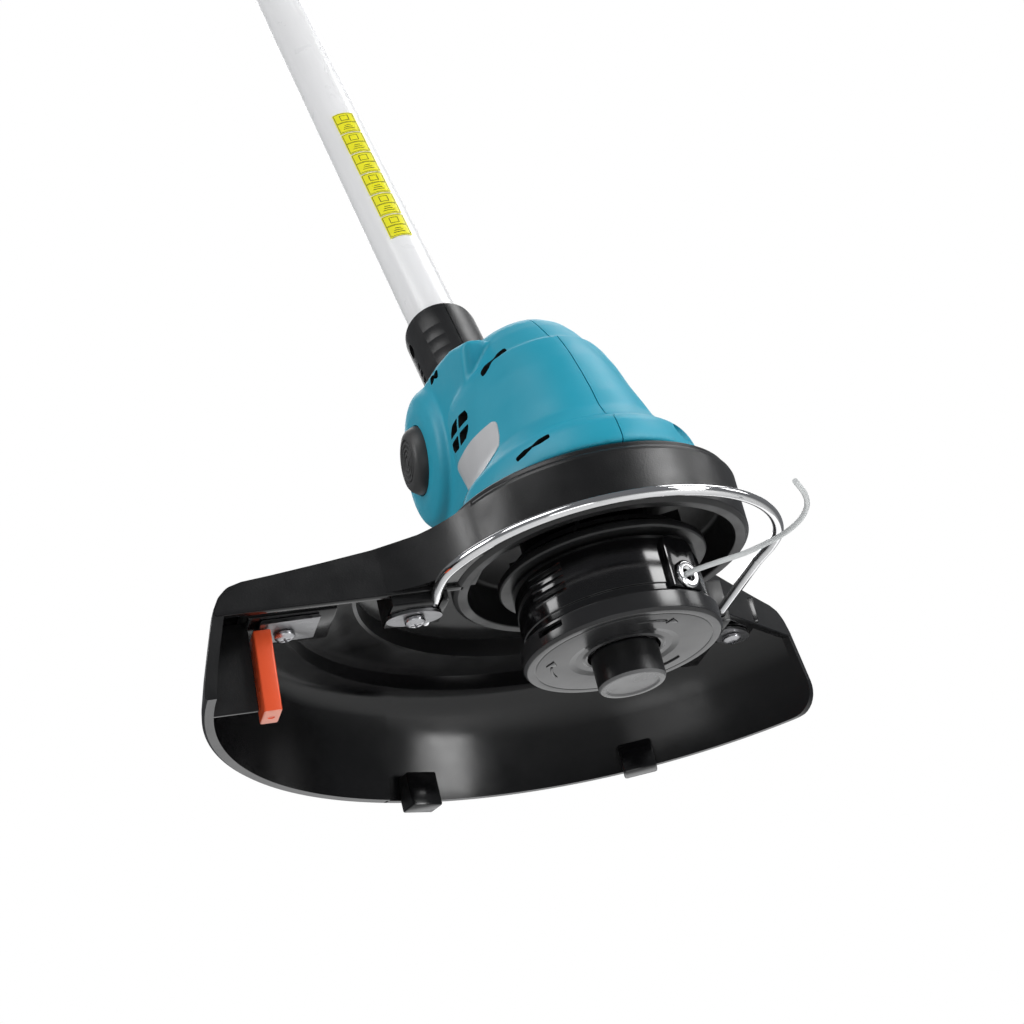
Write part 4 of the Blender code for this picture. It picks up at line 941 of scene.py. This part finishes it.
def make_label():
    panels, lines = [], []
    first, last = LABEL_SIDES
    mid = (first + last) / 2

    def line(a0, a1, s0, s1):
        steps = max(2, int((a1 - a0) / 3))
        lines.append(sector([(11.62, s0), (11.66, s0), (11.66, s1), (11.62, s1)], a0, a1, steps))

    for panel in range(6):
        low = LABEL_START + panel * 17.8
        high = low + 16.6
        panels.append(sector(spread([(11.42, low), (11.6, low), (11.6, high), (11.42, high)], 0.05),
                             first, last, 24))
        for cell in range(2):
            s0 = low + 0.5 + cell * 7.9
            s1 = s0 + 7.6
            for edge in (s0, s1 - 0.22):
                line(first + 2.5, last - 2.5, edge, edge + 0.22)
            for a in (first + 2.5, last - 3.6):
                line(a, a + 1.1, s0, s1)
            if cell:
                for edge in (s0 + 1.6, s1 - 1.9):
                    line(mid - 10, mid + 10, edge, edge + 0.3)
                for a in (mid - 10, mid + 8.6):
                    line(a, a + 1.4, s0 + 1.6, s1 - 1.6)
            else:
                for row in range(3):
                    line(mid - 13 + row * 3, mid + 13 - row * 3, s0 + 2.0 + row * 1.5,
                         s0 + 2.4 + row * 1.5)
    piece("label_panels", merged(panels), YELLOW, "lower_shaft", ["tube_label"],
          place=SHAFT)
    piece("label_lines", merged(lines), INK, "lower_shaft", place=SHAFT)


# ------------------------------------------------------------------ handles and battery

def softened(node, voxel, passes):
    """The node's own shape, with its corners flowed round, in millimetres."""
    source = NODES[node].data.copy()
    source.materials.clear()
    source.transform(Matrix.Scale(1000.0, 4))
    return baked(source, ("WELD", {"merge_threshold": 0.01}),
                 ("REMESH", {"mode": "VOXEL", "voxel_size": voxel}),
                 ("SMOOTH", {"factor": 0.5, "iterations": passes}))


def make_handles():
    back = SHAFT.inverted()
    for side in ("left", "right"):
        shell = softened("handle_" + side, 1.25, 8)
        way = -1 if side == "left" else 1
        shell.transform(back)
        grooves = []
        for i in range(9):
            s = 1022.0 + i * 8.5
            grooves.append(block((way * 8 - 8, -30, s), (way * 8 + 8, -21.9, s + 2.2), 0.6))
        for i in range(5):
            place = Matrix.Translation((way * 21.0, -6.0, 1140.0 + i * 6.0)) @ ACROSS
            grooves.append(prism(spread([(-0.9, -14), (0.9, -14), (0.9, 14), (-0.9, 14)], 0.8),
                                 -1.0, 2.0, place=place))
        shell = boolean(shell, merged(grooves))
        two_tone(shell, TEAL, RUBBER,
                 lambda face: 1008 < face.center.z < 1108 and face.center.y < 14.0)
        piece("handle_shell_" + side, shell, TEAL, "handle", ["handle_" + side],
              sharp=60, place=SHAFT)
    for name, node, voxel, body, material, slot in (
            ("lock_collar_soft", "lock_collar", 0.8, "handle", BLACK, "black_plastic"),
            ("handle_clamp_soft", "handle_clamp", 0.9, "handle", BLACK, "black_plastic"),
            ("clamp_knob_soft", "clamp_knob", 0.7, "clamp_knob", BLACK, "black_plastic"),
            ("trigger_soft", "trigger", 0.6, "trigger", RUBBER, "black_plastic"),
            ("lock_off_soft", "lock_off_button", 0.5, "lock_off", RUBBER, "black_plastic"),
            ("lock_lever_soft", "lock_lever", 0.6, "lock_lever", BLACK, "black_plastic")):
        piece(name, softened(node, voxel, 5), material, body, [node], sharp=60)


def make_loop():
    knots = [(13.3, -45), (13.6, -52), (20, -62), (36, -74), (52, -92), (62, -116), (62, -138),
             (50, -154), (28, -162), (0, -163.5)]
    path = [(x, y, LOOP_S) for x, y in knots] + [(-x, y, LOOP_S) for x, y in knots[-2::-1]]
    bar = tube(curve_points(path, 120), 7.5, 36)
    hinge = Matrix.Translation((0, -31.0, LOOP_S)) @ ACROSS
    for way in (-1, 1):
        start, end = sorted((way * 10.2, way * 17.0))
        bar = boolean(bar, rod(10.6, start, end, hinge, 64, 0.8), "UNION")
        bar = boolean(bar, block((start, -54, LOOP_S - 8), (end, -32, LOOP_S + 8), 0.9, 3), "UNION")
        bar = boolean(bar, rod(4.3, start - 3, end + 3, hinge, 40, 0.1))
    piece("loop_bar", bar, BLACK, "front_handle", ["front_handle"], sharp=45,
          place=SHAFT)
    top = [(36, -158.6), (28, -162), (0, -163.5), (-28, -162), (-36, -158.6)]
    sleeve = curve_points([(x, y, LOOP_S) for x, y in top], 60)
    rings = []
    for i in range(0, 60, 4):
        start = sleeve[i]
        end = sleeve[min(i + 2, 59)]
        if (end - start).length > 0.5:
            rings.append(tube([start, (start + end) / 2, end], 8.0, 32))
    piece("loop_grip_rings", merged(rings), RUBBER, "front_handle", place=SHAFT)


def make_battery():
    low, high = BATTERY_START, BATTERY_END
    case = block((-37, -44, low), (37, 70, high), 5.0, 5)
    cutters = [block((-34, -41, low + 4), (34, 67, high - 3), 2.0, 2),
               block((-10, -14, low - 2), (10, 14, low + 6), 0.6),
               block((-13, -50, low + 6), (13, -38, low + 26), 0.6)]
    for way in (-1, 1):
        for i in range(6):
            y = -26.0 + i * 15.0
            near, far = sorted((way * 36.2, way * 40))
            cutters.append(block((near, y, low + 14), (far, y + 6, high - 12), 0.3, 2))
    cutters.append(block((-26, -30, high - 0.7), (26, 55, high + 3), 0.4, 2))
    for cutter in cutters:
        case = boolean(case, cutter)
    piece("battery_shell", case, BLACK, "battery", ["battery_case"], sharp=40,
          place=SHAFT)
    latch = block((-12.4, -48, low + 6.6), (12.4, -38.0, low + 25.4), 1.4, 3)
    for i in range(4):
        s = low + 10.4 + i * 3.4
        latch = boolean(latch, block((-9, -50, s), (9, -47.3, s + 1.5), 0.3))
    piece("battery_release_ribbed", latch, ORANGE, "battery_release", ["battery_release"],
          place=SHAFT)


# ------------------------------------------------------------------ stage

def make_stage():
    """Pale floor, lifted a little for the camera only, and the studio lights."""
    floor = bpy.data.meshes.new("floor")
    floor.from_pydata([(-40, -40, -0.5), (40, -40, -0.5), (40, 40, -0.5), (-40, 40, -0.5)], [],
                      [(0, 1, 2, 3)])
    pale = Nodes("pale_floor")
    tone = pale.colours(pale.noise(2.0), (0.3, (0.84, 0.84, 0.83)), (0.7, (0.87, 0.87, 0.86)))
    pale.link(tone, pale.shader.inputs["Base Color"])
    pale.link(tone, pale.shader.inputs["Emission Color"])
    pale.link(pale.ramp(pale.noise(8.0), 0.3, 0.7, 0.6, 0.75), pale.shader.inputs["Roughness"])
    seen_floor = pale.tree.nodes.new("ShaderNodeLightPath").outputs["Is Camera Ray"]
    pale.link(pale.ramp(seen_floor, 0.0, 1.0, 0.0, 0.42), pale.shader.inputs["Emission Strength"])
    floor.materials.append(pale.material)
    thing = bpy.data.objects.new("floor", floor)
    SCENE.collection.objects.link(thing)
    for name, place, size, power in (
            ("front", (0.9, -0.88, 0.56), 0.5, 8.5), ("key", (-0.9, -0.5, 1.2), 0.8, 6.5),
            ("over", (0.75, 0.1, 1.15), 0.5, 3.3), ("right", (1.25, -0.2, 0.6), 0.4, 1.6),
            ("left", (-1.25, 0.12, 0.62), 0.5, 5.0), ("side", (0.9, -0.92, -0.2), 0.35, 3.0),
            ("under", (-0.5, -0.9, -0.44), 0.5, 1.3), ("low", (0.4, 1.1, -0.44), 1.0, 2.6),
            ("back", (0.3, 1.15, 1.1), 1.0, 7.0)):
        light = bpy.data.lights.new(name, "AREA")
        light.size = size
        light.energy = power
        lamp = bpy.data.objects.new(name, light)
        lamp.location = place
        aim = Vector((0.0, 0.02, 0.09)) - Vector(place)
        lamp.rotation_euler = aim.to_track_quat("-Z", "Y").to_euler()
        SCENE.collection.objects.link(lamp)
    make_world()


def make_world():
    """White behind the object, and a weaker soft light on it."""
    world = bpy.data.worlds.new("studio")
    SCENE.world = world
    world.use_nodes = True
    tree = world.node_tree
    seen = tree.nodes["Background"]
    seen.inputs["Color"].default_value = (1.0, 1.0, 1.0, 1.0)
    soft = tree.nodes.new("ShaderNodeBackground")
    soft.inputs["Color"].default_value = (0.92, 0.95, 1.0, 1.0)
    soft.inputs["Strength"].default_value = 0.17
    mix = tree.nodes.new("ShaderNodeMixShader")
    path = tree.nodes.new("ShaderNodeLightPath")
    tree.links.new(path.outputs["Is Camera Ray"], mix.inputs["Fac"])
    tree.links.new(soft.outputs["Background"], mix.inputs[1])
    tree.links.new(seen.outputs["Background"], mix.inputs[2])
    tree.links.new(mix.outputs["Shader"], tree.nodes["World Output"].inputs["Surface"])
    SCENE.view_settings.view_transform = "Standard"


def make_camera():
    """Camera at the photograph's place and angle."""
    data = bpy.data.cameras.new("camera")
    data.sensor_width = 36.0
    data.lens = 88.77
    data.clip_start = 0.05
    data.clip_end = 50.0
    camera = bpy.data.objects.new("camera", data)
    SCENE.collection.objects.link(camera)
    right = Vector((0.9475, -0.2246, -0.2274))
    back = Vector((-0.3009, -0.8667, -0.3978))
    turn = Matrix((right, back.cross(right), back)).transposed().to_4x4()
    turn.translation = Vector((-0.3067, -0.8020, -0.2949))
    camera.matrix_world = turn
    SCENE.camera = camera


# ------------------------------------------------------------------ CAD nodes that stay

KEPT = {
    "black_plastic": BLACK, "gloss_black": GLOSS, "blue_plastic": TEAL, "steel": ZINC,
    "silver_tube": SILVER, "orange_plastic": ORANGE, "yellow_label": YELLOW, "grey_plate": GREY,
    "rubber": RUBBER, "copper": COPPER, "nylon": NYLON,
}


def dress_kept_nodes():
    slots = {row["node"]: row["material_slot"] for row in frame["record"]["subparts"]}
    for name, thing in NODES.items():
        if name not in slots:
            continue
        thing.data.materials.clear()
        thing.data.materials.append(KEPT[slots[name]])
        weld = thing.modifiers.new("weld", "WELD")
        weld.merge_threshold = 0.00002
        for face in thing.data.polygons:
            face.use_smooth = True
        split = thing.modifiers.new("split", "EDGE_SPLIT")
        split.split_angle = radians(32)


make_camera()
make_line()
dress_kept_nodes()
SKIN = make_housing()
make_plate(SKIN)
make_buttons()
make_guard()
make_knob()
make_cover()
make_drum()
make_backplate()
make_eyelets()
make_wire()
make_fittings()
make_neck()
make_tubes()
make_label()
make_handles()
make_loop()
make_battery()
make_stage()
